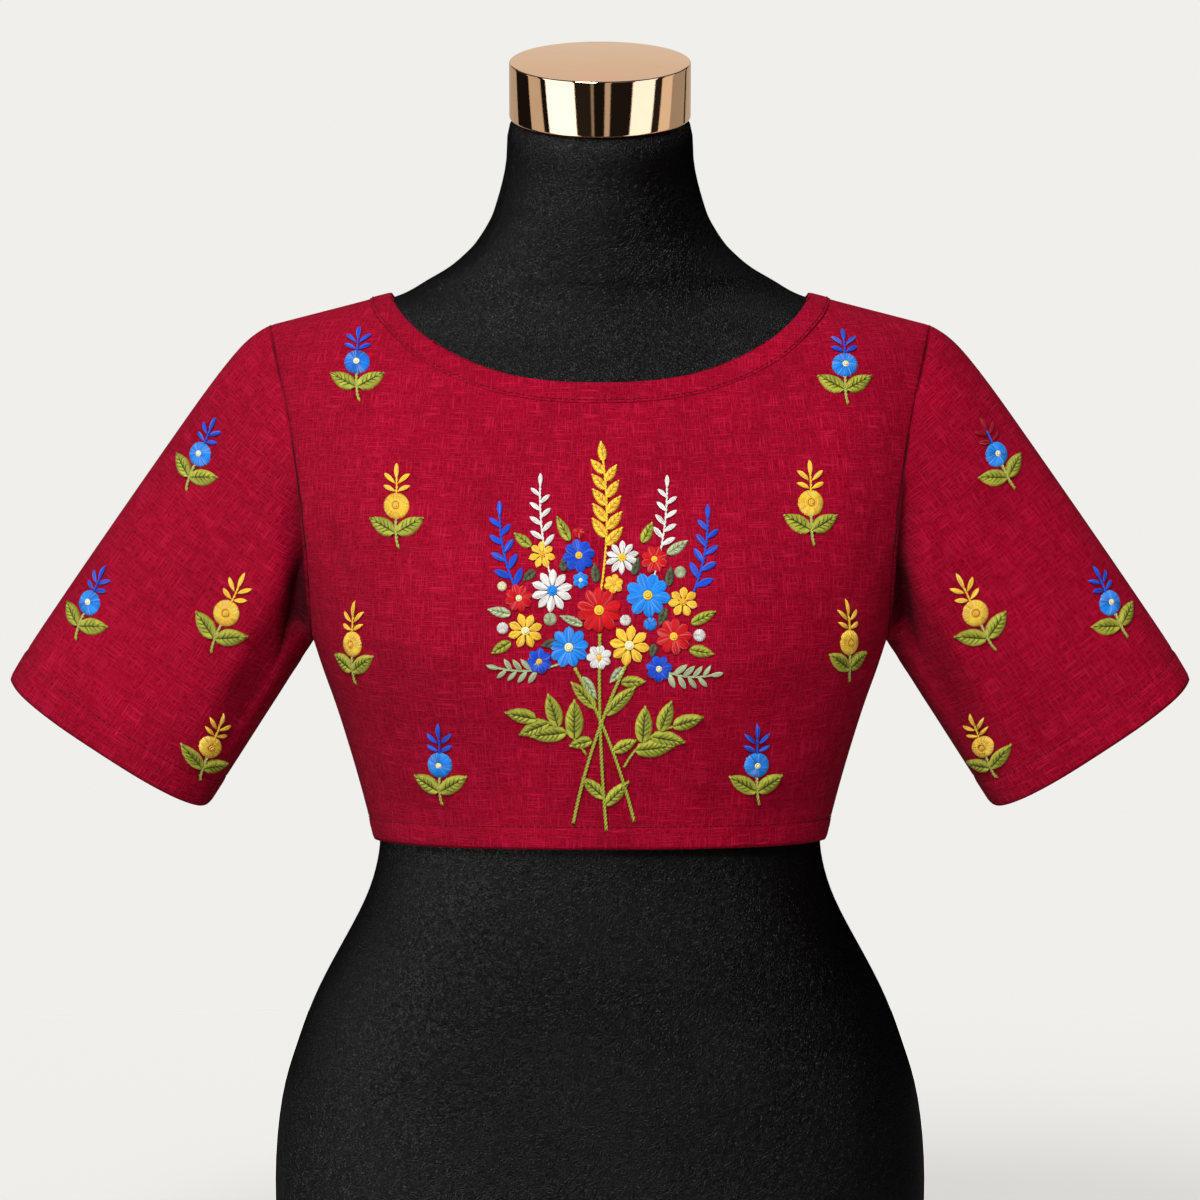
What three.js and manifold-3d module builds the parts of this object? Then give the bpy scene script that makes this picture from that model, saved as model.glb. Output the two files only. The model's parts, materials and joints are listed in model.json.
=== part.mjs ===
// An embroidered blouse on a limbless dress form. Millimetres, +Z up, the front faces -Y.
// The origin is the centre of the form's flat underside.
// The cloth is cut and sewn as a dressmaker does it: front, back, two sleeves and a neck band, each a thin
// wall.
// Raised satin-stitch flowers, leaves and stems lie on the front and on the sleeves.
import * as THREE from "three";
import { mergeVertices } from "three/addons/utils/BufferGeometryUtils.js";
import Module from "manifold-3d";

const wasm = await Module();
wasm.setup();

// ---------------------------------------------------------------- driving dimensions
const CLOTH = 1.2; // wall of the linen, with its turnings
const SEAM_GAP = 0.3; // between two pieces that are sewn together
const SIT_GAP = 0.3; // under a piece that lies on another

const HEM_Z = 277.7; // at the side seam
const HEM_RISE = 1.2; // how much higher the hem is cut at centre front and centre back
const UNDERARM_Z = 388.6;
const SHOULDER = { x: 184.8, z: 565 }; // outer end of the shoulder seam
const NECK = { x: 116.6, z: 582.6 }; // inner end of the shoulder seam
// How deep each neckline is cut below NECK.z, and the two exponents of its curve.
const FRONT_NECK = { drop: 49, across: 2.5, down: 0.74 };
const BACK_NECK = { drop: 27, across: 2.6, down: 0.66 };
const BAND = { width: 12.5, thick: 1, lift: 0.6, steps: 36, rows: [0, 0.5, 1] };

const BUST = { x: 72, z: 402, out: 8, wide: 42, tall: 46 }; // soft fullness shaped by the cut
const CUFF = { x: 275.8, y: 26, z: 331.8, half: 66.2, depth: 47, round: 2.6 };
const CUFF_SLANT = 33.1; // degrees from level, of the cuff's width
const CUFF_BACK = 8; // degrees that the sleeve points behind the shoulder
const SLEEVE_HEAD = { out: 8.6, rise: 0.06, fade: 0.6, narrow: 1.5 }; // fullness over the shoulder
const SLEEVE_START = SEAM_GAP * 1.2; // set back along the slanting sleeve, which leaves the gap square

const NECK_TILT = 15; // degrees that the form's neck leans forwards at its top
const CAP = { r: 50.4, high: 32, edge: 1.6, taper: 0.5, sides: 40 };

// ---------------------------------------------------------------- section tables
// Level sections of the form. half is half the width, front and back the depths from mid, a place on Y.
// round is the superellipse exponent, and tilt how far the ring leans forwards, in degrees.
const FORM_SECTIONS = [
  { z: 0, half: 169.5, front: 97, back: 105, mid: 6, round: 2.3, tilt: 0 },
  { z: 40, half: 179, front: 102, back: 113, mid: 6, round: 2.3, tilt: 0 },
  { z: 86, half: 182.4, front: 104, back: 119, mid: 5, round: 2.3, tilt: 0 },
  { z: 131, half: 178.6, front: 104, back: 114, mid: 4, round: 2.3, tilt: 0 },
  { z: 160, half: 170.6, front: 102, back: 106, mid: 3, round: 2.3, tilt: 0 },
  { z: 187, half: 160.8, front: 99.5, back: 98, mid: 3, round: 2.3, tilt: 0 },
  { z: 215, half: 146.6, front: 95.5, back: 89, mid: 2, round: 2.25, tilt: 0 },
  { z: 243, half: 131.9, front: 91.5, back: 82, mid: 1, round: 2.2, tilt: 0 },
  { z: 265, half: 124.9, front: 89.5, back: 79.5, mid: 1, round: 2.2, tilt: 0 },
  { z: 282, half: 123.6, front: 90, back: 79.5, mid: 1, round: 2.2, tilt: 0 },
  { z: 299, half: 127.6, front: 93.2, back: 81.7, mid: 1, round: 2.25, tilt: 0 },
  { z: 321, half: 133.7, front: 100, back: 85, mid: 1, round: 2.3, tilt: 0 },
  { z: 344, half: 140.7, front: 107.3, back: 89.4, mid: 2, round: 2.4, tilt: 0 },
  { z: 366, half: 148, front: 112.2, back: 92.6, mid: 2, round: 2.5, tilt: 0 },
  { z: 388.6, half: 155.8, front: 115.4, back: 95.2, mid: 3, round: 2.6, tilt: 0 },
  { z: 418, half: 160.5, front: 115, back: 97.2, mid: 4, round: 2.7, tilt: 0 },
  { z: 454, half: 168, front: 106, back: 97.4, mid: 6, round: 2.7, tilt: 0 },
  { z: 490, half: 174, front: 92.6, back: 94.4, mid: 8, round: 2.65, tilt: 0 },
  { z: 515, half: 177.5, front: 82, back: 89.6, mid: 10, round: 2.55, tilt: 0 },
  { z: 533, half: 179.2, front: 74.4, back: 83.6, mid: 11, round: 2.4, tilt: 0 },
  { z: 547, half: 180, front: 68.6, back: 76.4, mid: 12.4, round: 2.15, tilt: 0 },
  { z: 556.8, half: 176.8, front: 63.6, back: 70.4, mid: 13, round: 1.85, tilt: 0 },
  { z: 562, half: 173.4, front: 62.4, back: 67.8, mid: 13, round: 1.72, tilt: 0 },
  { z: 565.4, half: 167, front: 61.4, back: 65.8, mid: 13, round: 1.67, tilt: 0 },
  { z: 571, half: 150, front: 60.7, back: 63.7, mid: 13, round: 1.65, tilt: 0 },
  { z: 576.7, half: 129.5, front: 59.9, back: 61.8, mid: 13, round: 1.65, tilt: 0 },
  { z: 580.9, half: 114.4, front: 59.6, back: 60.4, mid: 12.5, round: 1.66, tilt: 0 },
  { z: 585.3, half: 104.6, front: 59.2, back: 59.6, mid: 12, round: 1.7, tilt: 0 },
  { z: 590.2, half: 96.6, front: 59, back: 59, mid: 10.5, round: 1.76, tilt: 0 },
  { z: 595.8, half: 86.8, front: 57.5, back: 57.5, mid: 8.5, round: 1.84, tilt: 0 },
  { z: 601.4, half: 79.2, front: 56.3, back: 56.3, mid: 7, round: 1.9, tilt: 1 },
  { z: 607, half: 73.1, front: 55.3, back: 55.3, mid: 5.4, round: 1.94, tilt: 2 },
  { z: 612.6, half: 68.3, front: 54.5, back: 54.5, mid: 4, round: 1.97, tilt: 3.2 },
  { z: 623.8, half: 61.3, front: 53.2, back: 53.2, mid: 0.8, round: 2, tilt: 5.8 },
  { z: 635, half: 57.4, front: 52.4, back: 52.4, mid: -2.5, round: 2, tilt: 8.3 },
  { z: 657.4, half: 52.8, front: 51.3, back: 51.3, mid: -8.7, round: 2, tilt: 12.4 },
  { z: 680, half: 49.8, front: 49.8, back: 49.8, mid: -15, round: 2, tilt: NECK_TILT },
];

// Level sections of the blouse's outer face, from the hem to the outer end of the shoulder seam.
const BLOUSE_SECTIONS = [
  { z: 270, half: 125.6, front: 93.6, back: 83.4, mid: 1, round: 2.2 },
  { z: HEM_Z, half: 126.8, front: 94.5, back: 84, mid: 1, round: 2.2 },
  { z: 299, half: 131.9, front: 98, back: 86.2, mid: 1, round: 2.25 },
  { z: 321, half: 138, front: 104, back: 89, mid: 1, round: 2.3 },
  { z: 344, half: 145, front: 110.6, back: 93, mid: 2, round: 2.4 },
  { z: 366, half: 152.3, front: 115.8, back: 96, mid: 2, round: 2.5 },
  { z: UNDERARM_Z, half: 160.3, front: 119, back: 98.5, mid: 3, round: 2.6 },
  { z: 418, half: 165.5, front: 118.6, back: 100.5, mid: 4, round: 2.7 },
  { z: 454, half: 175, front: 109.5, back: 100.6, mid: 6, round: 2.7 },
  { z: 490, half: 184, front: 96, back: 97.5, mid: 8, round: 2.65 },
  { z: 520, half: 191, front: 83.5, back: 91.5, mid: 10, round: 2.5 },
  { z: 539, half: 193.5, front: 75.5, back: 84.5, mid: 11.5, round: 2.35 },
  { z: 555, half: 193, front: 69, back: 75.8, mid: 13, round: 2.1 },
  { z: 562, half: 190, front: 66.6, back: 71.6, mid: 13, round: 1.86 },
  { z: SHOULDER.z, half: SHOULDER.x, front: 65.6, back: 69.8, mid: 13, round: 1.72 },
  { z: 574, half: 150, front: 64, back: 66.6, mid: 13, round: 1.65 },
  { z: NECK.z, half: NECK.x, front: 62.8, back: 63.6, mid: 12.4, round: 1.67 },
  { z: 592, half: 80, front: 60, back: 60, mid: 11, round: 1.75 },
];

// Where the front and the back are cut off for the armhole.
const ARMHOLE_EDGE = [
  { z: UNDERARM_Z, half: 160.3 },
  { z: 400, half: 160.6 },
  { z: 418, half: 161.2 },
  { z: 434, half: 162 },
  { z: 454, half: 164 },
  { z: 482, half: 167.6 },
  { z: 503, half: 171 },
  { z: 525, half: 175.5 },
  { z: 545, half: 180.2 },
  { z: SHOULDER.z, half: SHOULDER.x },
];

// Columns of a body panel, from the centre to the side, as shares of its half width. They gather
// at the neck end of the shoulder seam, where the neckline turns over the shoulder.
const NECK_SHARE = NECK.x / SHOULDER.x;
const FRONT_COLUMNS = [
  0, 0.1, 0.2, 0.292, 0.379, 0.46, 0.525, 0.5736, 0.606, 0.6255, NECK_SHARE, 0.71, 0.8, 0.9, 1,
];
const BACK_COLUMNS = [0, 0.14, 0.28, 0.4, 0.5, 0.57, 0.613, NECK_SHARE, 0.75, 0.88, 1];
const EVEN_FROM_Z = { low: 400, high: 520 }; // below low the columns are spread evenly round the body
const ROWS_BELOW_UNDERARM = 7;
const ARMHOLE_STEPS = 11; // from the underarm up to the shoulder, on each side of the sleeve
const LAST_STEP_Z = 0.9; // the topmost row is this far below the shoulder seam, to round it

const NEXT_TO_SEAM = 0.02; // a share of the sleeve's length
const SLEEVE_RINGS = [0, 0.04, 0.1, 0.2, 0.32, 0.45, 0.58, 0.7, 0.82, 0.92, 1];
const FORM_AROUND = 32;

// Raised satin stitch: clear of the cloth by lift, padded up by high, with stems set a little deeper by sink.
const PAD = { lift: 0.55, high: 1.5, sink: 0.12 };
const SPRIG = { disc: 7.1, corners: 5, notch: 0.98, leaf: { u: 15.2, v: -0.5, wide: 7, below: 7.5 } };
const SPRIG_STEM = {
  wide: 1.8,
  high: 1,
  start: 0.5,
  bend: [{ aside: 0, below: 0 }, { aside: 0, below: 7 }, { aside: 0.6, below: 13 }, { aside: 1.6, below: 16.4 }],
};
const CROWN_STEM = { sunk: 1, long: 8, wide: 1.6, high: 0.9 };
const CROWN_HIGH = 1.1;
// The crown over each flower: how far out and up its petals reach from its foot. u 0 is the middle petal.
const CROWN_PETALS = [
  { u: 0, foot: 5.5, tip: 13.6, wide: 3 },
  { u: 4.4, foot: 4.5, tip: 10.4, wide: 2.8 },
  { u: 5.4, foot: 1.8, tip: 5.4, wide: 2.8 },
];
// x and z place the middle of each flower, and lean turns the sprig anticlockwise, in degrees.
const SPRIGS = [
  { name: "chest_left", on: "front", x: -134, z: 544.5, lean: 0, colour: "sky_blue" },
  { name: "chest_right", on: "front", x: 135, z: 543, lean: 0, colour: "sky_blue" },
  { name: "bust_left", on: "front", x: -111, z: 466.5, lean: 0, colour: "yellow" },
  { name: "bust_right", on: "front", x: 115, z: 468, lean: 0, colour: "yellow" },
  { name: "side_left", on: "front", x: -135.5, z: 390.5, lean: 0, colour: "yellow" },
  { name: "side_right", on: "front", x: 136.5, z: 391.5, lean: 0, colour: "yellow" },
  { name: "waist_left", on: "front", x: -87.5, z: 325, lean: 0, colour: "sky_blue" },
  { name: "waist_right", on: "front", x: 85.5, z: 325, lean: 0, colour: "sky_blue" },
  { name: "sleeve_left_top", on: "sleeve", x: -222.5, z: 493, lean: -26, colour: "sky_blue" },
  { name: "sleeve_left_outer", on: "sleeve", x: -285, z: 410, lean: -26, colour: "sky_blue" },
  { name: "sleeve_left_inner", on: "sleeve", x: -207, z: 405.5, lean: -26, colour: "yellow" },
  { name: "sleeve_left_low", on: "sleeve", x: -217.5, z: 329.5, lean: -26, colour: "yellow" },
  { name: "sleeve_right_top", on: "sleeve", x: 220.5, z: 493, lean: 26, colour: "sky_blue" },
  { name: "sleeve_right_outer", on: "sleeve", x: 284.5, z: 410, lean: 26, colour: "sky_blue" },
  { name: "sleeve_right_inner", on: "sleeve", x: 208, z: 405.5, lean: 26, colour: "yellow" },
  { name: "sleeve_right_low", on: "sleeve", x: 214, z: 329.5, lean: 26, colour: "yellow" },
];

// The bouquet's places are u to the right and v up from its foot, which is at x, z on the front.
const BOUQUET = { x: 2.5, z: 290 };
const BOUQUET_BLOSSOMS = [
  { name: "blossom_red", u: -3, v: 121, r: 12.5, petals: 6, start: 0, colour: "red" },
  { name: "blossom_blue", u: 23.5, v: 129, r: 11.5, petals: 6, start: 18, colour: "deep_blue" },
  { name: "blossom_white", u: -28.5, v: 131.5, r: 11, petals: 6, start: 40, colour: "white" },
  { name: "blossom_yellow", u: 13.5, v: 102, r: 10, petals: 5, start: 10, colour: "yellow" },
  { name: "blossom_sky", u: -19.5, v: 101, r: 10.5, petals: 5, start: 0, colour: "sky_blue" },
  { name: "blossom_red_right", u: 37.5, v: 107, r: 9.5, petals: 5, start: 50, colour: "red" },
  { name: "blossom_yellow_left", u: -43, v: 110, r: 8.5, petals: 5, start: 24, colour: "yellow" },
  { name: "blossom_white_top", u: 9.5, v: 149, r: 8.5, petals: 5, start: 0, colour: "white" },
  { name: "blossom_sky_top", u: -14, v: 150, r: 8.5, petals: 5, start: 36, colour: "sky_blue" },
];
const BLOSSOM = { notch: 0.78, high: PAD.high + 0.4, knot: 0.7 };
// A blossom's rings: how far out, how much of the notch they take, and their height as a share of the pad's.
const BLOSSOM_RINGS = [
  { out: 0.66, cut: 0.5, high: 1 },
  { out: 0.3, cut: 0, high: 0.7 },
];
// From u0, v0 to u1, v1 with the given bend. Leaflets of the given length and width leave the stem at
// spread degrees, beginning at first, a share of its length.
const BOUQUET_SPRAYS = [
  { name: "spray_yellow", u0: -2, v0: 140, u1: -1, v1: 203, bend: -3,
    leaflets: 10, first: 0.3, long: 15, wide: 5.6, spread: 38, stem: 1.8, colour: "yellow" },
  { name: "spray_blue_left", u0: -43, v0: 124, u1: -56, v1: 170, bend: 3,
    leaflets: 8, first: 0.12, long: 10, wide: 4.4, spread: 46, stem: 1.6, colour: "deep_blue" },
  { name: "spray_blue_right", u0: 46, v0: 121, u1: 55, v1: 168, bend: -3,
    leaflets: 8, first: 0.12, long: 10, wide: 4.4, spread: 46, stem: 1.6, colour: "deep_blue" },
  { name: "spray_white_left", u0: -27, v0: 145, u1: -34, v1: 188, bend: 2,
    leaflets: 8, first: 0.14, long: 8.5, wide: 3.6, spread: 52, stem: 1.5, colour: "white" },
  { name: "spray_white_right", u0: 27, v0: 143, u1: 34, v1: 187, bend: -2,
    leaflets: 8, first: 0.14, long: 8.5, wide: 3.6, spread: 52, stem: 1.5, colour: "white" },
  { name: "frond_left", u0: -21, v0: 87, u1: -55, v1: 91, bend: 3,
    leaflets: 8, first: 0.2, long: 9.5, wide: 4, spread: 50, stem: 1.6, colour: "pale_leaf" },
  { name: "frond_right", u0: 25, v0: 91, u1: 55, v1: 87, bend: -3,
    leaflets: 8, first: 0.12, long: 9.5, wide: 4, spread: 50, stem: 1.6, colour: "pale_leaf" },
  { name: "leaves_left", u0: -10, v0: 42, u1: -38, v1: 62, bend: -4,
    leaflets: 4, first: 0.3, long: 24, wide: 10.5, spread: 44, stem: 1.9, colour: "leaf" },
  { name: "leaves_right", u0: 10.5, v0: 35, u1: 38, v1: 58, bend: 4,
    leaflets: 4, first: 0.3, long: 24, wide: 10.5, spread: 44, stem: 1.9, colour: "leaf" },
];
const SPRAY = { stemHigh: 0.9, leafHigh: PAD.high * 0.9, roundFrom: 12, last: 0.94, taper: 0.35, tip: 0.72 };
const STALK = { wide: 2, high: 1.1, steps: 7 };
const BOUQUET_STALKS = [
  { u0: -17, v0: 4, u1: 11.5, v1: 91.2, bend: 3 },
  { u0: 16, v0: 5, u1: -16, v1: 89.6, bend: -3 },
  { u0: 1, v0: 0, u1: -2.6, v1: 107.8, bend: 1.5 },
];
const BOUQUET_TIE_LEAVES = [
  { u0: 0.5, v0: 14, u1: 13, v1: 27, wide: 6.5 },
  { u0: 0, v0: 18, u1: -12, v1: 29, wide: 6.5 },
  { u0: 0.4, v0: 64, u1: 17, v1: 80, wide: 7 },
  { u0: -5, v0: 68, u1: -18, v1: 82, wide: 6.5 },
];

const MATERIALS = {
  black: new THREE.MeshStandardMaterial({ color: 0x17171a, roughness: 0.55 }),
  gold: new THREE.MeshStandardMaterial({ color: 0xd9a878, roughness: 0.16, metalness: 1 }),
  crimson: new THREE.MeshStandardMaterial({ color: 0xab1334, roughness: 0.85 }),
  leaf: new THREE.MeshStandardMaterial({ color: 0x90983a, roughness: 0.6 }),
  pale_leaf: new THREE.MeshStandardMaterial({ color: 0xb4bb92, roughness: 0.6 }),
  yellow: new THREE.MeshStandardMaterial({ color: 0xf3bb2f, roughness: 0.6 }),
  sky_blue: new THREE.MeshStandardMaterial({ color: 0x1f7fdc, roughness: 0.6 }),
  deep_blue: new THREE.MeshStandardMaterial({ color: 0x1741b4, roughness: 0.6 }),
  red: new THREE.MeshStandardMaterial({ color: 0xc40f1f, roughness: 0.6 }),
  white: new THREE.MeshStandardMaterial({ color: 0xe9e2df, roughness: 0.6 }),
};

// ---------------------------------------------------------------- small tools
const vec = (x, y, z) => new THREE.Vector3(x, y, z);
const radians = THREE.MathUtils.degToRad;
const clamp = THREE.MathUtils.clamp;
const SETTLE_STEPS = 14; // of Newton's method, to land a point on a curved surface

// One column of a table as a smooth function of z that never overshoots its rows.
function smoothColumn(table, name) {
  const z = table.map((row) => row.z);
  const value = table.map((row) => row[name]);
  const slope = z.slice(1).map((next, i) => (value[i + 1] - value[i]) / (next - z[i]));
  const lean = value.map((_, i) => {
    if (i === 0) return slope[0];
    if (i === slope.length) return slope[i - 1];
    const [before, after] = [slope[i - 1], slope[i]];
    return before * after <= 0 ? 0 : (2 * before * after) / (before + after);
  });
  return (at) => {
    const i = clamp(z.findIndex((next) => next > at) - 1, 0, slope.length - 1);
    const k = at >= z[z.length - 1] ? slope.length - 1 : i;
    const step = z[k + 1] - z[k];
    const t = clamp((at - z[k]) / step, 0, 1);
    const rise = t * t * (3 - 2 * t);
    const start = t * (1 - t) * (1 - t) * step;
    const end = -t * t * (1 - t) * step;
    return value[k] + (value[k + 1] - value[k]) * rise + lean[k] * start + lean[k + 1] * end;
  };
}

function smoothTable(table) {
  const names = Object.keys(table[0]).filter((name) => name !== "z");
  const columns = names.map((name) => [name, smoothColumn(table, name)]);
  return (z) => Object.fromEntries(columns.map(([name, at]) => [name, at(z)]));
}

function bust(x, z) {
  const aside = (Math.abs(x) - BUST.x) / BUST.wide;
  const above = (z - BUST.z) / BUST.tall;
  return BUST.out * Math.exp(-aside * aside - above * above);
}

// A geometry from points and triangles, turned so that its faces point out.
function closedGeometry(points, triangles) {
  let volume = 0;
  for (const [a, b, c] of triangles) {
    volume += points[a].dot(vec(0, 0, 0).crossVectors(points[b], points[c]));
  }
  const faces = volume < 0 ? triangles.map(([a, b, c]) => [a, c, b]) : triangles;
  const geometry = new THREE.BufferGeometry();
  geometry.setFromPoints(points);
  geometry.setIndex(faces.flat());
  geometry.computeVertexNormals();
  return geometry;
}

// A closed wall between two grids of points with rows and columns alike. A tube's columns run round it.
function wallGeometry(outer, inner, tube = false) {
  const rows = outer.length;
  const columns = outer[0].length;
  const points = [...outer.flat(), ...inner.flat()];
  const at = (row, column, side) => side * rows * columns + row * columns + (column % columns);
  const triangles = [];
  const quad = (a, b, c, d) => {
    const short = points[a].distanceTo(points[c]) <= points[b].distanceTo(points[d]);
    triangles.push(...(short ? [[a, b, c], [a, c, d]] : [[a, b, d], [b, c, d]]));
  };
  const across = tube ? columns : columns - 1;
  for (let i = 0; i < rows - 1; i++) {
    for (let j = 0; j < across; j++) {
      const [a, b, c, d] = [[i, j], [i, j + 1], [i + 1, j + 1], [i + 1, j]].map(([r, k]) => at(r, k, 0));
      const inside = rows * columns;
      quad(a, b, c, d);
      quad(a + inside, d + inside, c + inside, b + inside);
    }
  }
  const rim = (p, q) => quad(q[0], p[0], p[1], q[1]);
  const both = (row, column) => [at(row, column, 0), at(row, column, 1)];
  for (let j = 0; j < across; j++) {
    rim(both(0, j), both(0, j + 1));
    rim(both(rows - 1, j + 1), both(rows - 1, j));
  }
  if (!tube) {
    for (let i = 0; i < rows - 1; i++) {
      rim(both(i + 1, 0), both(i, 0));
      rim(both(i, columns - 1), both(i + 1, columns - 1));
    }
  }
  return closedGeometry(points, triangles);
}

function movedAlong(point, direction, distance) {
  return point.clone().addScaledVector(direction, distance);
}

const part = new THREE.Group();

function addPiece(name, geometry, material) {
  const mesh = new THREE.Mesh(geometry, material);
  mesh.name = name;
  part.add(mesh);
  return mesh;
}

// ---------------------------------------------------------------- the dress form
const formAt = smoothTable(FORM_SECTIONS);
const neckTop = FORM_SECTIONS[FORM_SECTIONS.length - 1];

function formRing(z) {
  const s = formAt(z);
  const power = 2 / s.round;
  const lean = radians(s.tilt);
  return Array.from({ length: FORM_AROUND }, (_, k) => {
    const angle = (2 * Math.PI * k) / FORM_AROUND;
    const [cos, sin] = [Math.cos(angle), Math.sin(angle)];
    const x = s.half * Math.sign(cos) * Math.abs(cos) ** power;
    const fullness = sin < 0 ? bust(x, z) : 0;
    const depth = sin < 0 ? s.front + fullness : s.back;
    const y = depth * Math.sign(sin) * Math.abs(sin) ** power;
    return vec(x, s.mid + y * Math.cos(lean), z + y * Math.sin(lean));
  });
}

function formTorso() {
  const rings = FORM_SECTIONS.map((row) => formRing(row.z));
  const points = rings.flat();
  const triangles = [];
  for (let i = 0; i < rings.length - 1; i++) {
    for (let k = 0; k < FORM_AROUND; k++) {
      const next = (k + 1) % FORM_AROUND;
      const [a, b] = [i * FORM_AROUND + k, i * FORM_AROUND + next];
      triangles.push([a, b, b + FORM_AROUND], [a, b + FORM_AROUND, a + FORM_AROUND]);
    }
  }
  const lid = (ring, centre, turned) => {
    points.push(centre);
    for (let k = 0; k < FORM_AROUND; k++) {
      const edge = [ring * FORM_AROUND + k, ring * FORM_AROUND + ((k + 1) % FORM_AROUND)];
      triangles.push(turned ? [edge[1], edge[0], points.length - 1] : [...edge, points.length - 1]);
    }
  };
  lid(0, vec(0, FORM_SECTIONS[0].mid, 0), true);
  lid(rings.length - 1, vec(0, neckTop.mid, neckTop.z), false);
  return closedGeometry(points, triangles);
}

// A turned metal disc on the neck's slanted top, with softened edges.
function neckCap() {
  const { r, high, edge, taper, sides } = CAP;
  const profile = [
    [0, 0],
    [r - edge / 2, 0],
    [r, edge / 2],
    [r - taper, high - edge],
    [r - taper - edge * 0.3, high - edge * 0.3],
    [r - taper - edge, high],
    [0, high],
  ];
  return new THREE.LatheGeometry(profile.map(([x, y]) => new THREE.Vector2(x, y)), sides);
}

addPiece("form_torso", formTorso(), MATERIALS.black);
const cap = addPiece("form_cap", neckCap(), MATERIALS.gold);
const neckAxis = vec(0, -Math.sin(radians(NECK_TILT)), Math.cos(radians(NECK_TILT)));
cap.rotation.x = Math.PI / 2 + radians(NECK_TILT);
cap.position.copy(vec(0, neckTop.mid, neckTop.z).addScaledVector(neckAxis, SIT_GAP));

// ---------------------------------------------------------------- the blouse's body
const blouseTable = smoothTable(BLOUSE_SECTIONS);
const armholeHalf = smoothColumn(ARMHOLE_EDGE, "half");
const SHOULDER_FALL = (NECK.z - SHOULDER.z) / (SHOULDER.x - NECK.x);

// Height of the shoulder seam at a distance x from the centre.
function shoulderSeam(x) {
  return SHOULDER.z + (SHOULDER.x - x) * SHOULDER_FALL;
}

function blouseAt(z) {
  const s = blouseTable(z);
  if (z > SHOULDER.z) s.half = SHOULDER.x - (z - SHOULDER.z) / SHOULDER_FALL;
  return s;
}

// 0 on the blouse's outer face, above 0 outside it and below 0 inside.
function outside(p) {
  const s = blouseAt(p.z);
  const front = p.y < s.mid;
  const depth = front ? s.front + bust(p.x, p.z) : s.back;
  const across = Math.abs(p.x) / s.half;
  const deep = Math.abs(p.y - s.mid) / depth;
  return (across ** s.round + deep ** s.round) ** (1 / s.round) - 1;
}

function outsideGradient(p) {
  const step = 0.05;
  const axes = [vec(step, 0, 0), vec(0, step, 0), vec(0, 0, step)];
  const rise = axes.map((a) => outside(p.clone().add(a)) - outside(p.clone().sub(a)));
  return vec(...rise).divideScalar(2 * step);
}

const bodyNormal = (p) => outsideGradient(p).normalize();

function onBody(p) {
  const found = p.clone();
  for (let i = 0; i < SETTLE_STEPS; i++) {
    const gradient = outsideGradient(found);
    found.addScaledVector(gradient, -outside(found) / gradient.lengthSq());
  }
  return found;
}

// A point of the front (side -1) or the back (side 1) above the place x, z of the front view.
function panelPoint(x, z, side) {
  const s = blouseAt(z);
  const depth = side < 0 ? s.front + bust(x, z) : s.back;
  const across = Math.min(1, Math.abs(x) / s.half);
  const out = depth * Math.max(0, 1 - across ** s.round) ** (1 / s.round);
  return vec(x, s.mid + side * Math.max(out, SEAM_GAP / 2), z);
}

function neckline(x, cut) {
  const share = clamp(Math.abs(x) / NECK.x, 0, 1);
  return NECK.z - cut.drop * (1 - share ** cut.across) ** cut.down;
}

// The armhole's height at a turn round it, which is 0 at the shoulder and 0.5 at the underarm.
const ARMHOLE_MIDDLE = (SHOULDER.z + UNDERARM_Z) / 2;
const ARMHOLE_REACH = (SHOULDER.z - UNDERARM_Z) / 2;
const armholeZ = (turn) => ARMHOLE_MIDDLE + ARMHOLE_REACH * Math.cos(2 * Math.PI * turn);
const armholeTurn = (z) => Math.acos(clamp((z - ARMHOLE_MIDDLE) / ARMHOLE_REACH, -1, 1)) / (2 * Math.PI);

// Heights of the armhole's points, from the underarm to the shoulder.
const armholeHeights = (() => {
  const even = Array.from({ length: ARMHOLE_STEPS + 1 }, (_, k) => armholeZ(0.5 - (0.5 * k) / ARMHOLE_STEPS));
  return [...even.slice(0, -1), SHOULDER.z - LAST_STEP_Z, SHOULDER.z];
})();

const rowHeights = [
  ...Array.from({ length: ROWS_BELOW_UNDERARM }, (_, k) => {
    return HEM_Z + ((UNDERARM_Z - HEM_Z) * k) / ROWS_BELOW_UNDERARM;
  }),
  ...armholeHeights,
];

function armholePoint(z, side, hand) {
  const p = panelPoint(armholeHalf(z), z, side);
  p.x *= hand;
  return p;
}

// Half the width of a body panel at its side seam, its armhole or its shoulder.
function edgeHalf(z) {
  if (z <= UNDERARM_Z) return blouseAt(z).half;
  return z >= SHOULDER.z ? SHOULDER.x : armholeHalf(z);
}

// One panel's outer points: a row for each height at its side edge, running up to the neckline and the
// shoulder seam.
function panelGrid(side, cut, shares) {
  const count = shares.length - 1;
  const columns = [...shares.keys()];
  const order = [...columns.slice(1).reverse().map((k) => -k), ...columns];
  return rowHeights.map((edgeZ) => {
    const rise = (edgeZ - HEM_Z) / (SHOULDER.z - HEM_Z);
    return order.map((k) => {
      const index = Math.abs(k);
      const hand = Math.sign(k) || 1;
      const share = shares[index];
      const atTop = share * SHOULDER.x;
      const topZ = atTop < NECK.x ? neckline(atTop, cut) : shoulderSeam(atTop);
      const bottomZ = HEM_Z + HEM_RISE * Math.cos((Math.PI / 2) * share);
      const z = bottomZ + (topZ - bottomZ) * rise;
      const even = Math.sin((Math.PI / 2) * (index / count));
      const blend = THREE.MathUtils.smoothstep(z, EVEN_FROM_Z.low, EVEN_FROM_Z.high);
      const edge = edgeHalf(z);
      return panelPoint(hand * edge * (even + (share - even) * blend), z, side);
    });
  });
}

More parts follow.
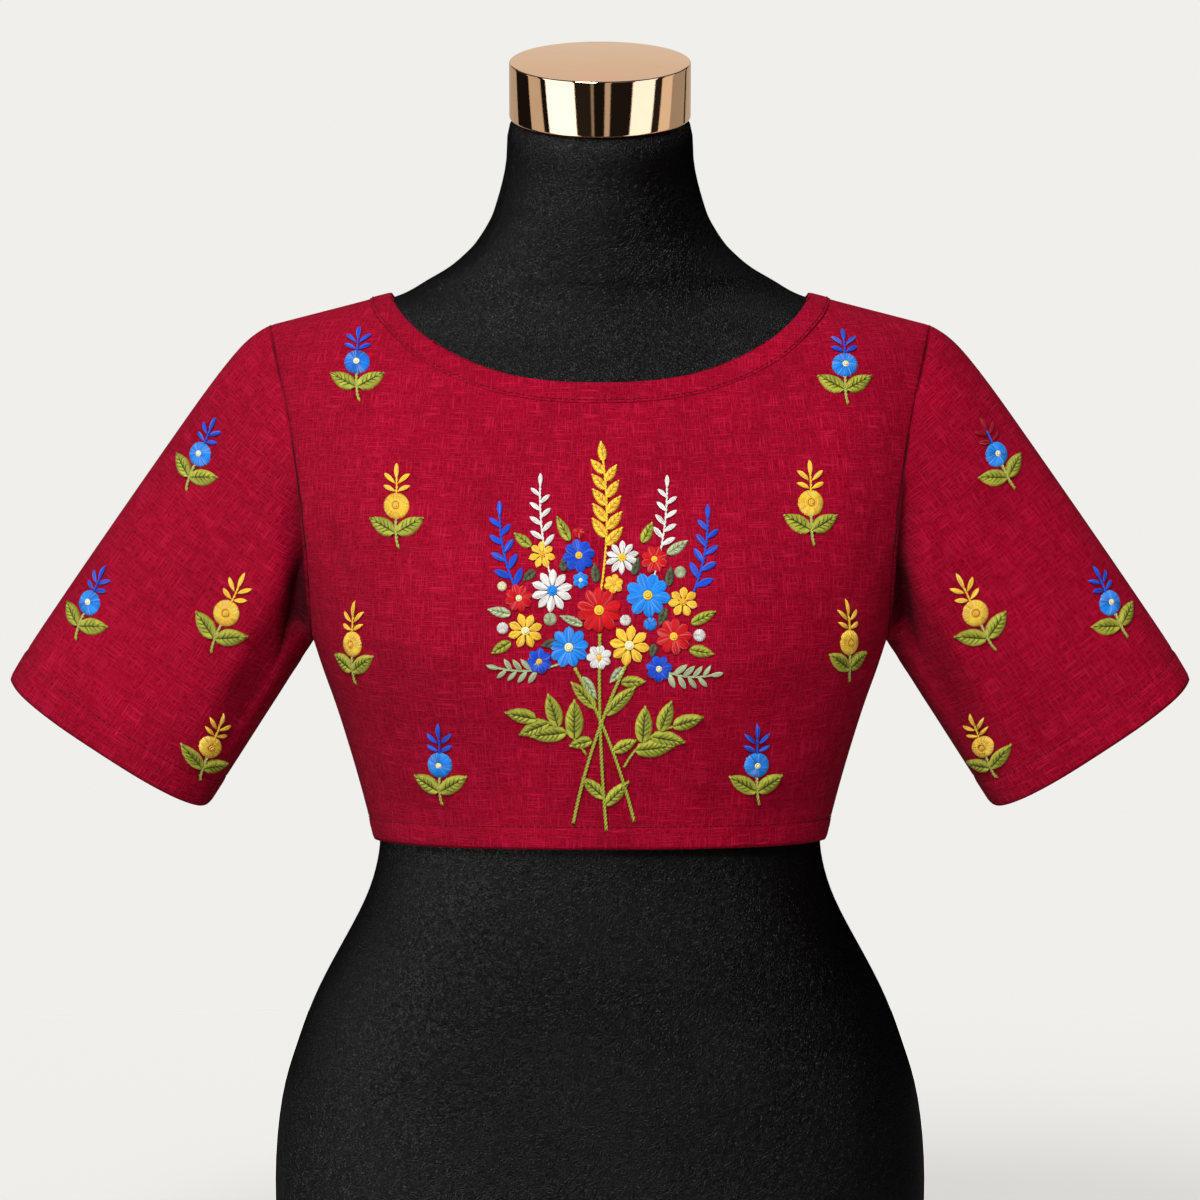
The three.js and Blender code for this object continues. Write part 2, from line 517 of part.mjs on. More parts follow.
// ---------------------------------------------------------------- the sleeves
// w runs from 0 at the armhole to 1 at the cuff, and turn from 0 at the shoulder over the front round to 1.
const cuffOut = vec(Math.cos(radians(CUFF_SLANT)), 0, Math.sin(radians(CUFF_SLANT)));
const cuffAlong = vec(Math.sin(radians(CUFF_SLANT)), 0, -Math.cos(radians(CUFF_SLANT)));
const cuffFront = vec(0, -Math.cos(radians(CUFF_BACK)), 0);
cuffFront.addScaledVector(cuffAlong, Math.sin(radians(CUFF_BACK)));

function cuffPoint(turn) {
  const angle = 2 * Math.PI * turn;
  const power = 2 / CUFF.round;
  const shaped = (t) => Math.sign(t) * Math.abs(t) ** power;
  return vec(CUFF.x, CUFF.y, CUFF.z)
    .addScaledVector(cuffOut, CUFF.half * shaped(Math.cos(angle)))
    .addScaledVector(cuffFront, CUFF.depth * shaped(Math.sin(angle)));
}

function sleevePoint(w, turn, hand) {
  const side = turn <= 0.5 ? -1 : 1;
  const start = armholePoint(armholeZ(turn), side, 1);
  const end = cuffPoint(turn);
  const along = end.clone().sub(start).normalize();
  const over = Math.max(0, Math.cos(2 * Math.PI * turn)) ** SLEEVE_HEAD.narrow;
  const head = SLEEVE_HEAD.out * (1 - Math.exp(-w / SLEEVE_HEAD.rise)) * (1 - w) ** SLEEVE_HEAD.fade;
  const p = start.lerp(end, w);
  p.addScaledVector(cuffOut, head * over);
  if (w === 0) p.addScaledVector(along, SLEEVE_START);
  p.x *= hand;
  return p;
}

function sleeveNormal(w, turn, hand) {
  const [dw, dt, end] = [0.01, 0.004, 0.001]; // end keeps clear of the set-back first ring
  const [w0, w1] = [Math.max(end, w - dw), Math.min(1 - end, w + dw)];
  const wrap = (t) => (t + 1) % 1;
  const down = sleevePoint(w1, turn, hand).sub(sleevePoint(w0, turn, hand));
  const round = sleevePoint(w, wrap(turn + dt), hand).sub(sleevePoint(w, wrap(turn - dt), hand));
  return round.cross(down).normalize().multiplyScalar(hand);
}

const sleeveTurns = (() => {
  const front = [...armholeHeights].reverse().map(armholeTurn);
  return [...front, ...front.slice(1, -1).reverse().map((turn) => 1 - turn)];
})();

// The outward direction on the side seam and on the shoulder seam, which is level from front to back.
function seamNormal(p) {
  const n = bodyNormal(p);
  return vec(n.x, 0, n.z).normalize();
}

// Where a sleeve and a panel meet, both walls take their thickness in this shared direction.
function armholeSeamNormal(turn, hand) {
  const p = armholePoint(armholeZ(turn), turn <= 0.5 ? -1 : 1, hand);
  const body = turn === 0 || turn === 0.5 ? seamNormal(p) : bodyNormal(p);
  return body.add(sleeveNormal(NEXT_TO_SEAM, turn, hand)).normalize();
}

function panelNormals(grid) {
  return grid.map((row, i) =>
    row.map((p, j) => {
      const hand = Math.sign(p.x) || 1;
      const atSide = j === 0 || j === row.length - 1;
      const top = i === grid.length - 1;
      const step = i - ROWS_BELOW_UNDERARM;
      if (atSide && step >= 0) {
        const turn = armholeTurn(rowHeights[i]);
        return armholeSeamNormal(p.y < blouseAt(p.z).mid ? turn : (1 - turn) % 1, hand);
      }
      const onShoulder = top && Math.abs(p.x) >= NECK.x - 0.01;
      return atSide || onShoulder ? seamNormal(p) : bodyNormal(p);
    }),
  );
}

function panelGeometry(side, cut, shares) {
  const outer = panelGrid(side, cut, shares);
  const normals = panelNormals(outer);
  const inner = outer.map((row, i) => row.map((p, j) => movedAlong(p, normals[i][j], -CLOTH)));
  return wallGeometry(outer, inner);
}

function sleeveGeometry(hand) {
  const outer = SLEEVE_RINGS.map((w) => sleeveTurns.map((turn) => sleevePoint(w, turn, hand)));
  const inner = outer.map((ring, i) =>
    ring.map((p, k) => {
      const turn = sleeveTurns[k];
      const n = i === 0 ? armholeSeamNormal(turn, hand) : sleeveNormal(SLEEVE_RINGS[i], turn, hand);
      return movedAlong(p, n, -CLOTH);
    }),
  );
  return wallGeometry(outer, inner, true);
}

addPiece("front", panelGeometry(-1, FRONT_NECK, FRONT_COLUMNS), MATERIALS.crimson);
addPiece("back", panelGeometry(1, BACK_NECK, BACK_COLUMNS), MATERIALS.crimson);
addPiece("sleeve_right", sleeveGeometry(1), MATERIALS.crimson);
addPiece("sleeve_left", sleeveGeometry(-1), MATERIALS.crimson);

// ---------------------------------------------------------------- the neck band
// A strip all round the neckline, laid on the front and back and stitched down along its lower edge.
function evenlyAlong(curve, count) {
  const path = new THREE.CurvePath();
  const pieces = 240;
  const fine = Array.from({ length: pieces + 1 }, (_, k) => curve(k / pieces));
  fine.slice(1).forEach((p, k) => path.add(new THREE.LineCurve3(fine[k], p)));
  return path.getSpacedPoints(count);
}

function neckBand() {
  const edgeCurve = (cut, side) => (t) => {
    const x = -NECK.x * Math.cos(Math.PI * t);
    return panelPoint(x, neckline(x, cut), side);
  };
  const front = evenlyAlong(edgeCurve(FRONT_NECK, -1), BAND.steps);
  const back = evenlyAlong(edgeCurve(BACK_NECK, 1), BAND.steps);
  const edge = [...front, ...back.slice(1, -1).reverse()].map(onBody);
  const centre = vec(0, blouseAt(NECK.z).mid, NECK.z - BACK_NECK.drop / 2);
  const section = edge.map((p, k) => {
    const before = edge[(k + edge.length - 1) % edge.length];
    const after = edge[(k + 1) % edge.length];
    const along = after.clone().sub(before).normalize();
    const aside = bodyNormal(p).cross(along).normalize();
    if (aside.dot(p.clone().sub(centre)) < 0) aside.negate();
    return BAND.rows.map((share) => onBody(movedAlong(p, aside, BAND.width * share)));
  });
  const at = (height) => BAND.rows.map((_, row) => {
    return section.map((points) => movedAlong(points[row], bodyNormal(points[row]), height));
  });
  return wallGeometry(at(BAND.lift + BAND.thick), at(BAND.lift), true);
}

addPiece("neck_band", neckBand(), MATERIALS.crimson);

// ---------------------------------------------------------------- raised embroidery
// A ground gives the cloth's point and its outward direction at u to the right and v up from an anchor, in the
// motif's own turned axes.
const turned = (u, v, degrees) => {
  const [c, s] = [Math.cos(radians(degrees)), Math.sin(radians(degrees))];
  return [u * c - v * s, u * s + v * c];
};

// The front, followed along its own surface from the anchor.
function bodyGround(x, z, degrees) {
  const anchor = onBody(panelPoint(x, z, -1));
  const n = bodyNormal(anchor);
  const right = vec(1, 0, 0).addScaledVector(n, -n.x).normalize();
  const up = n.clone().cross(right).negate();
  if (up.z < 0) up.negate();
  return (u, v) => {
    const [a, b] = turned(u, v, degrees);
    const p = onBody(anchor.clone().addScaledVector(right, a).addScaledVector(up, b));
    return [p, bodyNormal(p)];
  };
}

// The front as it is seen from straight ahead, for the large central design.
function frontGround(x, z) {
  return (u, v) => {
    const p = panelPoint(x + u, z + v, -1);
    return [p, bodyNormal(p)];
  };
}

// The sleeve's front half, followed along its own surface from the anchor.
function sleeveGround(x, z, degrees) {
  const hand = Math.sign(x);
  const nudge = { w: 0.002, turn: 0.001 };
  const solve = (target, right, up, first) => {
    let [w, turn] = first;
    for (let i = 0; i < SETTLE_STEPS; i++) {
      const miss = (a, b) => {
        const gap = sleevePoint(a, b, hand).sub(target);
        return [gap.dot(right), gap.dot(up)];
      };
      const here = miss(w, turn);
      const byW = miss(w + nudge.w, turn).map((m, k) => (m - here[k]) / nudge.w);
      const byTurn = miss(w, turn + nudge.turn).map((m, k) => (m - here[k]) / nudge.turn);
      const size = byW[0] * byTurn[1] - byW[1] * byTurn[0];
      w = clamp(w - (here[0] * byTurn[1] - here[1] * byTurn[0]) / size, 0.01, 0.995);
      turn = clamp(turn - (byW[0] * here[1] - byW[1] * here[0]) / size, 0.02, 0.48);
    }
    return [w, turn];
  };
  const first = solve(vec(x, 0, z), vec(1, 0, 0), vec(0, 0, 1), [0.5, 0.25]);
  const anchor = sleevePoint(...first, hand);
  const n = sleeveNormal(...first, hand);
  const right = vec(1, 0, 0).addScaledVector(n, -n.x).normalize();
  const up = n.clone().cross(right);
  if (up.z < 0) up.negate();
  return (u, v) => {
    const [a, b] = turned(u, v, degrees);
    const place = solve(anchor.clone().addScaledVector(right, a).addScaledVector(up, b), right, up, first);
    return [sleevePoint(...place, hand), sleeveNormal(...place, hand)];
  };
}

const raised = (ground, u, v, height) => {
  const [p, n] = ground(u, v);
  return movedAlong(p, n, PAD.lift + height);
};

const ROUND_LEAF = [0.32, 0.68];
const SLIM_LEAF = [0.5];

// How a leaf's width swells and narrows along it, from 0 to 1.
function leafWidth(t) {
  return Math.sin(Math.PI * Math.min(0.93, t + 0.05)) ** 0.7;
}

// A pointed pad from a base to a tip: its widths and heights at places along it.
function leafPad(ground, from, to, wide, high, places = ROUND_LEAF) {
  const run = [to[0] - from[0], to[1] - from[1]];
  const length = Math.hypot(...run);
  const aside = [-run[1] / length, run[0] / length];
  const at = (t, share) => [from[0] + run[0] * t + aside[0] * share, from[1] + run[1] * t + aside[1] * share];
  const base = raised(ground, ...from, 0);
  const tip = raised(ground, ...to, 0);
  const half = places.map((t) => (wide / 2) * leafWidth(t));
  const left = places.map((t, k) => raised(ground, ...at(t, half[k]), 0));
  const right = places.map((t, k) => raised(ground, ...at(t, -half[k]), 0));
  const spine = places.map((t) => raised(ground, ...at(t, 0), high));
  const n = places.length;
  const points = [base, tip, ...left, ...right, ...spine];
  const [l, r, s] = [2, 2 + n, 2 + 2 * n];
  const faces = [[0, r, l], [0, l, s], [0, s, r], [1, l + n - 1, r + n - 1]];
  faces.push([1, s + n - 1, l + n - 1], [1, r + n - 1, s + n - 1]);
  for (let k = 0; k < n - 1; k++) {
    faces.push([l + k, r + k, r + k + 1], [l + k, r + k + 1, l + k + 1]);
    faces.push([l + k, l + k + 1, s + k + 1], [l + k, s + k + 1, s + k]);
    faces.push([r + k, s + k, s + k + 1], [r + k, s + k + 1, r + k + 1]);
  }
  return closedGeometry(points, faces);
}

// A corded stem through some places, with a three-sided section.
function stemPad(ground, places, wide, high) {
  const points = [];
  const faces = [];
  places.forEach(([u, v], k) => {
    const [a, b] = [places[Math.max(0, k - 1)], places[Math.min(places.length - 1, k + 1)]];
    const length = Math.hypot(b[0] - a[0], b[1] - a[1]);
    const aside = [(-(b[1] - a[1]) / length) * (wide / 2), ((b[0] - a[0]) / length) * (wide / 2)];
    points.push(raised(ground, u + aside[0], v + aside[1], -PAD.sink));
    points.push(raised(ground, u - aside[0], v - aside[1], -PAD.sink));
    points.push(raised(ground, u, v, high));
  });
  const last = points.length - 3;
  faces.push([0, 1, 2], [last, last + 2, last + 1]);
  for (let k = 0; k < last; k += 3) {
    for (const [i, j] of [[0, 1], [1, 2], [2, 0]]) {
      faces.push([k + i, k + 3 + i, k + 3 + j], [k + i, k + 3 + j, k + j]);
    }
  }
  return closedGeometry(points, faces);
}

// A petalled pad with a raised centre. The notches between its petals reach the given share of the radius.
function blossomPad(ground, [u, v], r, petals, notch, high, start = 0) {
  const around = petals * 2;
  const ring = (share, cut, height) => Array.from({ length: around }, (_, k) => {
    const angle = radians(start) + (Math.PI * k) / petals;
    const reach = r * share * (k % 2 ? 1 - (1 - notch) * cut : 1);
    return raised(ground, u + reach * Math.sin(angle), v + reach * Math.cos(angle), height);
  });
  const foot = -PAD.sink / 2;
  const rings = [ring(1, 1, foot), ...BLOSSOM_RINGS.map((row) => ring(row.out, row.cut, high * row.high))];
  const points = [...rings.flat(), raised(ground, u, v, foot), raised(ground, u, v, high + BLOSSOM.knot)];
  const [under, over] = [points.length - 2, points.length - 1];
  const faces = [];
  for (let k = 0; k < around; k++) {
    const next = (k + 1) % around;
    faces.push([k, next, under], [2 * around + k, over, 2 * around + next]);
    for (const row of [0, around]) {
      faces.push([row + k, row + around + next, row + next], [row + k, row + around + k, row + around + next]);
    }
  }
  return closedGeometry(points, faces);
}

const SMALLEST_EDGE = 0.01;

// Several pads joined into one body.
function joined(geometries) {
  const solids = geometries.map((geometry) => {
    const position = Float32Array.from(geometry.attributes.position.array);
    const triangles = Uint32Array.from(geometry.index.array);
    return new wasm.Manifold(new wasm.Mesh({ numProp: 3, vertProperties: position, triVerts: triangles }));
  });
  const mesh = wasm.Manifold.union(solids).simplify(SMALLEST_EDGE).getMesh();
  const geometry = new THREE.BufferGeometry();
  geometry.setAttribute("position", new THREE.BufferAttribute(mesh.vertProperties, mesh.numProp));
  geometry.setIndex(new THREE.BufferAttribute(mesh.triVerts, 1));
  return mergeVertices(geometry);
}

// ---------------------------------------------------------------- the sixteen sprigs
function sprig(row) {
  const ground = (row.on === "front" ? bodyGround : sleeveGround)(row.x, row.z, row.lean);
  const name = `sprig_${row.name}`;
  const disc = blossomPad(ground, [0, 0], SPRIG.disc, SPRIG.corners, SPRIG.notch, PAD.high);
  const crownFoot = SPRIG.disc - CROWN_STEM.sunk;
  const crownPlaces = [0, 0.5, 1].map((t) => [0, crownFoot + CROWN_STEM.long * t]);
  const crownStem = stemPad(ground, crownPlaces, CROWN_STEM.wide, CROWN_STEM.high);
  const petals = CROWN_PETALS.flatMap((petal) => (petal.u ? [1, -1] : [1]).map((hand) => {
    const from = [0, crownFoot + petal.foot];
    return leafPad(ground, from, [hand * petal.u, crownFoot + petal.tip], petal.wide, CROWN_HIGH, SLIM_LEAF);
  }));
  addPiece(`${name}_flower`, joined([disc, crownStem, ...petals]), MATERIALS[row.colour]);
  const top = -SPRIG.disc - SPRIG_STEM.start;
  const stemPlaces = SPRIG_STEM.bend.map(({ aside, below }) => [aside, top - below]);
  const stem = stemPad(ground, stemPlaces, SPRIG_STEM.wide, SPRIG_STEM.high);
  const leaves = [1, -1].map((hand) => {
    const tip = [hand * SPRIG.leaf.u, top - SPRIG.leaf.v];
    return leafPad(ground, [0, top - SPRIG.leaf.below], tip, SPRIG.leaf.wide, PAD.high);
  });
  addPiece(`${name}_stem`, joined([stem, ...leaves]), MATERIALS.leaf);
}

SPRIGS.forEach(sprig);

// ---------------------------------------------------------------- the bouquet on the front
const bouquetGround = frontGround(BOUQUET.x, BOUQUET.z);

// A bent stem from one place to another, as a row of places. bend is how far its middle bows to the left.
function bentStem([u0, v0], [u1, v1], bend, count = 4) {
  return Array.from({ length: count + 1 }, (_, k) => {
    const t = k / count;
    const bow = (4 * bend * t * (1 - t)) / Math.hypot(u1 - u0, v1 - v0);
    return [u0 + (u1 - u0) * t - (v1 - v0) * bow, v0 + (v1 - v0) * t + (u1 - u0) * bow];
  });
}

const CURVE_END = 0.03; // how far before its end a stem's last leaflet starts, as a share

// A stem with leaflets up both sides and one at its tip.
function spray(row) {
  const places = bentStem([row.u0, row.v0], [row.u1, row.v1], row.bend);
  const curve = new THREE.CatmullRomCurve3(places.map(([u, v]) => vec(u, v, 0)));
  const pads = [stemPad(bouquetGround, places, row.stem, SPRAY.stemHigh)];
  const shape = row.long > SPRAY.roundFrom ? ROUND_LEAF : SLIM_LEAF;
  const leaflet = (foot, direction, size) => {
    const tip = foot.clone().addScaledVector(direction, row.long * size);
    return leafPad(bouquetGround, [foot.x, foot.y], [tip.x, tip.y], row.wide * size, SPRAY.leafHigh, shape);
  };
  for (let k = 0; k < row.leaflets; k++) {
    const t = row.first + ((SPRAY.last - row.first) * k) / row.leaflets;
    const along = curve.getTangent(t);
    const direction = along.applyAxisAngle(vec(0, 0, 1), radians(k % 2 ? row.spread : -row.spread));
    pads.push(leaflet(curve.getPoint(t), direction, 1 - SPRAY.taper * t));
  }
  pads.push(leaflet(curve.getPoint(1 - CURVE_END), curve.getTangent(1), SPRAY.tip));
  addPiece(`bouquet_${row.name}`, joined(pads), MATERIALS[row.colour]);
}

BOUQUET_SPRAYS.forEach(spray);

for (const row of BOUQUET_BLOSSOMS) {
  const place = [row.u, row.v];
  const geometry = blossomPad(bouquetGround, place, row.r, row.petals, BLOSSOM.notch, BLOSSOM.high, row.start);
  addPiece(`bouquet_${row.name}`, geometry, MATERIALS[row.colour]);
}

// The stalks cross at the tie, fan out below it, and reach up to the blossoms.
const stalks = BOUQUET_STALKS.map((row) => {
  const places = bentStem([row.u0, row.v0], [row.u1, row.v1], row.bend, STALK.steps);
  return stemPad(bouquetGround, places, STALK.wide, STALK.high);
});
const tieLeaves = BOUQUET_TIE_LEAVES.map((row) => {
  return leafPad(bouquetGround, [row.u0, row.v0], [row.u1, row.v1], row.wide, PAD.high);
});
addPiece("bouquet_stalks", joined([...stalks, ...tieLeaves]), MATERIALS.leaf);

export default part;
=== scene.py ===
"""An embroidered linen blouse on a limbless dress form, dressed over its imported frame."""

import json
import math

import bpy
import numpy as np
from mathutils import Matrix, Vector
from mathutils.bvhtree import BVHTree
from mathutils.kdtree import KDTree


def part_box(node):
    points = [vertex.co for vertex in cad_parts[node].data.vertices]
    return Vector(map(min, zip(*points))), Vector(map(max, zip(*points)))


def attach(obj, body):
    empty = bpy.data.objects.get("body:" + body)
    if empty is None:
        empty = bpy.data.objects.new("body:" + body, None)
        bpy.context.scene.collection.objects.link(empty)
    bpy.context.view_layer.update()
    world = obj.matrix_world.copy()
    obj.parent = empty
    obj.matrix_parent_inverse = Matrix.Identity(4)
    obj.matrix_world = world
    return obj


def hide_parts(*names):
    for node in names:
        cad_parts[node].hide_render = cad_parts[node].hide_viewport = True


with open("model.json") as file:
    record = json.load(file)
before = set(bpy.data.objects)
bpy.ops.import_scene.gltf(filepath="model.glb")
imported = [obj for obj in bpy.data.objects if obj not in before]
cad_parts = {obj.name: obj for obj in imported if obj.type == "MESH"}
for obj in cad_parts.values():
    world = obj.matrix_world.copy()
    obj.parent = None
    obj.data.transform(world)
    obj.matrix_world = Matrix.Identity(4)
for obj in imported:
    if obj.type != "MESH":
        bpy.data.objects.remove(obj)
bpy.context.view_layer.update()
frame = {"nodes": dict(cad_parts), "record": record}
MM = 0.001


# ---------------------------------------------------------------- the camera
# It stands straight ahead, a little above the middle of the blouse, and looks slightly down at it through a
# long lens.
CAMERA_DISTANCE = 3.5
CAMERA_ELEVATION = math.radians(2.75)
CAMERA_TARGET = Vector((0, 0, 0.411))
FRAME_WIDTH = 0.672  # what the picture takes in at the target


def add_object(name, data):
    obj = bpy.data.objects.new(name, data)
    bpy.context.collection.objects.link(obj)
    return obj


camera_data = bpy.data.cameras.new("camera")
camera_data.lens = camera_data.sensor_width * CAMERA_DISTANCE / FRAME_WIDTH
camera_data.clip_end = 60
camera = add_object("camera", camera_data)
toward_camera = Vector((0, -math.cos(CAMERA_ELEVATION), math.sin(CAMERA_ELEVATION)))
camera.location = CAMERA_TARGET + toward_camera * CAMERA_DISTANCE
camera.rotation_euler = (-toward_camera).to_track_quat("-Z", "Y").to_euler()
bpy.context.scene.camera = camera


# ---------------------------------------------------------------- the form's torso
# A rigid foam core under a tight black cover with a fine leathery grain. It is one smooth piece, pulled on
# from below, so no seam shows.
COVER = {"dark": (0.0004, 0.0004, 0.0005), "light": (0.0056, 0.0055, 0.0062), "rough": (0.27, 0.42)}
GRAIN = {"cells": 760.0, "creases": 900.0, "clouds": 7.0, "pull": 260.0, "pulled": 0.004}  # to a metre
GRAIN |= {"strength": 0.9, "deep": 0.3 * MM}
NECK_TOP = {"from": 642 * MM, "to": 684 * MM, "in": 0.055}  # the neck draws in below the cap
BASE_MIDDLE_Y, BASE_CORE = 6 * MM, 60 * MM  # the underside's edges further from its middle are its outline


def only(obj):
    """Makes obj the one selected and active object."""
    bpy.ops.object.select_all(action="DESELECT")
    obj.select_set(True)
    bpy.context.view_layer.objects.active = obj


def in_edit_mode(obj, select="SELECT"):
    only(obj)
    bpy.ops.object.mode_set(mode="EDIT")
    bpy.ops.mesh.select_all(action=select)


def copy_of(node, name):
    """A copy of a solid with its loose triangles merged and paired into quads."""
    obj = add_object(name, frame["nodes"][node].data.copy())
    obj.data.materials.clear()
    in_edit_mode(obj)
    bpy.ops.mesh.remove_doubles(threshold=0.01 * MM)
    bpy.ops.mesh.tris_convert_to_quads(face_threshold=math.radians(70), shape_threshold=math.radians(70))
    bpy.ops.object.mode_set(mode="OBJECT")
    return obj


def read(rows, name, width=1, kind=float):
    """One property of a mesh's points, edges or loops as an array, width values to a row."""
    flat = np.empty(len(rows) * width, dtype=kind)
    rows.foreach_get(name, flat)
    return flat.reshape(-1, width) if width > 1 else flat


def places(mesh):
    return read(mesh.vertices, "co", 3)


def normals(mesh):
    return read(mesh.vertex_normals, "vector", 3)


def put(mesh, points):
    mesh.vertices.foreach_set("co", np.ascontiguousarray(points).ravel())
    mesh.update()


def smooth_step(t):
    t = np.clip(t, 0, 1)
    return t * t * (3 - 2 * t)


def near(distance, wide):
    """1 at no distance and less further away, most of it within wide."""
    return np.exp(-((distance / wide) ** 2))


def apply(obj, modifier):
    only(obj)
    bpy.ops.object.modifier_apply(modifier=modifier.name)


def smooth_through(obj, levels):
    """Subdivides obj smoothly, with its surface still passing through the points that it had."""
    modifier = obj.modifiers.new("round", "SUBSURF")
    modifier.levels = modifier.render_levels = 1
    modifier.boundary_smooth = "PRESERVE_CORNERS"
    goal = places(obj.data)
    for _ in range(4):
        seen = obj.evaluated_get(bpy.context.evaluated_depsgraph_get())
        put(obj.data, places(obj.data) + goal - places(seen.data)[: len(goal)])
        bpy.context.view_layer.update()
    modifier.levels = modifier.render_levels = levels
    apply(obj, modifier)
    obj.data.polygons.foreach_set("use_smooth", [True] * len(obj.data.polygons))


def nodes_of(name):
    """A new material, its node tree and its shader."""
    material = bpy.data.materials.new(name)
    material.use_nodes = True
    tree = material.node_tree
    return material, tree, tree.nodes["Principled BSDF"]


def feed(tree, node, inputs):
    """Links each input of a node to a socket, or sets it to a value."""
    for key, value in inputs.items():
        if isinstance(value, bpy.types.NodeSocket):
            tree.links.new(value, node.inputs[key])
        else:
            node.inputs[key].default_value = value


def add_node(tree, kind, inputs=None, **settings):
    node = tree.nodes.new(kind)
    for key, value in settings.items():
        setattr(node, key, value)
    feed(tree, node, inputs or {})
    return node


def ramp(tree, factor, stops):
    """A colour ramp through (place, colour or grey) stops."""
    node = add_node(tree, "ShaderNodeValToRGB", {"Fac": factor})
    elements = node.color_ramp.elements
    while len(elements) < len(stops):
        elements.new(0.5)
    for element, (place, value) in zip(elements, stops):
        element.position = place
        colour = value if isinstance(value, tuple) else (value, value, value)
        element.color = (*colour, 1)
    return node.outputs["Color"]


def noise(tree, place, scale, detail, rough=0.5):
    """The value of a noise pattern at a place."""
    inputs = {"Vector": place, "Scale": scale, "Detail": detail, "Roughness": rough}
    return add_node(tree, "ShaderNodeTexNoise", inputs).outputs["Fac"]


def calculate(tree, operation, a, b=0.0):
    return add_node(tree, "ShaderNodeMath", {0: a, 1: b}, operation=operation).outputs[0]


def between_values(tree, share, low, high):
    """A value that runs from low to high as share runs from 0 to 1."""
    return add_node(tree, "ShaderNodeMapRange", {0: share, 3: low, 4: high}).outputs[0]


def mix(tree, share, a, b, **settings):
    return add_node(tree, "ShaderNodeMix", {"Factor": share, "A": a, "B": b}, **settings).outputs["Result"]


def darken(tree, colour, shadow):
    return mix(tree, 1.0, colour, shadow, data_type="RGBA", blend_type="MULTIPLY")


def relief(tree, height, strength, deep):
    """The normal of a finish with fine relief, deep in metres."""
    inputs = {"Height": height, "Strength": strength, "Distance": deep}
    return add_node(tree, "ShaderNodeBump", inputs).outputs[0]


def cover_material():
    material, tree, shader = nodes_of("form_cover")
    place = add_node(tree, "ShaderNodeTexCoord").outputs["Object"]
    pull = add_node(tree, "ShaderNodeTexNoise", {"Vector": place, "Scale": GRAIN["pull"], "Detail": 2.0})
    swirl = mix(tree, GRAIN["pulled"], place, pull.outputs["Color"], data_type="VECTOR")
    cell_edges = {"Vector": swirl, "Scale": GRAIN["cells"]}
    grain = add_node(tree, "ShaderNodeTexVoronoi", cell_edges, feature="DISTANCE_TO_EDGE").outputs["Distance"]
    crease = noise(tree, place, GRAIN["creases"], 4.0, 0.65)
    cells = add_node(tree, "ShaderNodeMapRange", {0: grain, 2: 0.3}).outputs[0]
    shade = calculate(tree, "MULTIPLY", crease, noise(tree, place, GRAIN["clouds"], 3.0))
    finish = {
        "Base Color": ramp(tree, shade, [(0.17, COVER["dark"]), (0.36, COVER["light"])]),
        "Roughness": between_values(tree, crease, *COVER["rough"]),
        "Normal": relief(tree, calculate(tree, "ADD", cells, crease), GRAIN["strength"], GRAIN["deep"]),
        "Specular IOR Level": 0.2,
    }
    feed(tree, shader, finish)
    return material


torso = copy_of("form_torso", "dress_form")
creases = torso.data.attributes.new("crease_edge", "FLOAT", "EDGE")
for edge in torso.data.edges:
    ends = [torso.data.vertices[i].co for i in edge.vertices]
    on_base = all(abs(p.z) < 0.1 * MM for p in ends)
    outline = min(math.hypot(p.x, p.y - BASE_MIDDLE_Y) for p in ends) > BASE_CORE
    creases.data[edge.index].value = 1.0 if on_base and outline else 0.0
smooth_through(torso, 2)
skin = places(torso.data)
neck = skin[skin[:, 2] > NECK_TOP["to"] - 10 * MM]
neck_axis = (neck[:, :2].min(axis=0) + neck[:, :2].max(axis=0)) / 2
rise_share = smooth_step((skin[:, 2:] - NECK_TOP["from"]) / (NECK_TOP["to"] - NECK_TOP["from"]))
skin[:, :2] -= (skin[:, :2] - neck_axis) * NECK_TOP["in"] * rise_share
put(torso.data, skin)
torso.data.materials.append(cover_material())
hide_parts("form_torso")
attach(torso, "root")


# ---------------------------------------------------------------- the neck cap
# A spun metal cap with a rose-gold mirror finish, pressed over the neck's slanted top. Its edges are softly
# rolled.
NECK_TILT = math.radians(15)
CAP = {"radius": 50.4 * MM, "height": 32 * MM, "roll": 1.4 * MM, "smears": 60.0, "pits": 9000.0}
CAP |= {"deep": (0.83, 0.585, 0.41), "pale": (0.86, 0.62, 0.44)}


def cap_material():
    material, tree, shader = nodes_of("cap_metal")
    place = add_node(tree, "ShaderNodeTexCoord").outputs["Object"]
    smear = noise(tree, place, CAP["smears"], 4.0)
    finish = {
        "Base Color": ramp(tree, smear, [(0.3, CAP["deep"]), (0.7, CAP["pale"])]),
        "Normal": relief(tree, noise(tree, place, CAP["pits"], 1.0), 0.12, 0.02 * MM),
        "Roughness": 0.0,
        "Metallic": 1.0,
    }
    feed(tree, shader, finish)
    return material


cap_low, cap_high = (Vector(c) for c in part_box("form_cap"))
bpy.ops.object.select_all(action="DESELECT")
bpy.ops.mesh.primitive_cylinder_add(
    vertices=128,
    radius=CAP["radius"],
    depth=CAP["height"],
    location=(cap_low + cap_high) / 2,
    rotation=(NECK_TILT, 0, 0),
)
cap = bpy.context.object
cap.name = "neck_cap"
bpy.ops.object.transform_apply(location=True, rotation=True, scale=True)
rolled = cap.modifiers.new("rolled_edge", "BEVEL")
rolled.width = CAP["roll"]
rolled.segments = 5
rolled.limit_method = "ANGLE"
apply(cap, rolled)
bpy.ops.object.shade_smooth_by_angle(angle=math.radians(35))
cap.data.materials.append(cap_material())
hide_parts("form_cap")
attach(cap, "root")


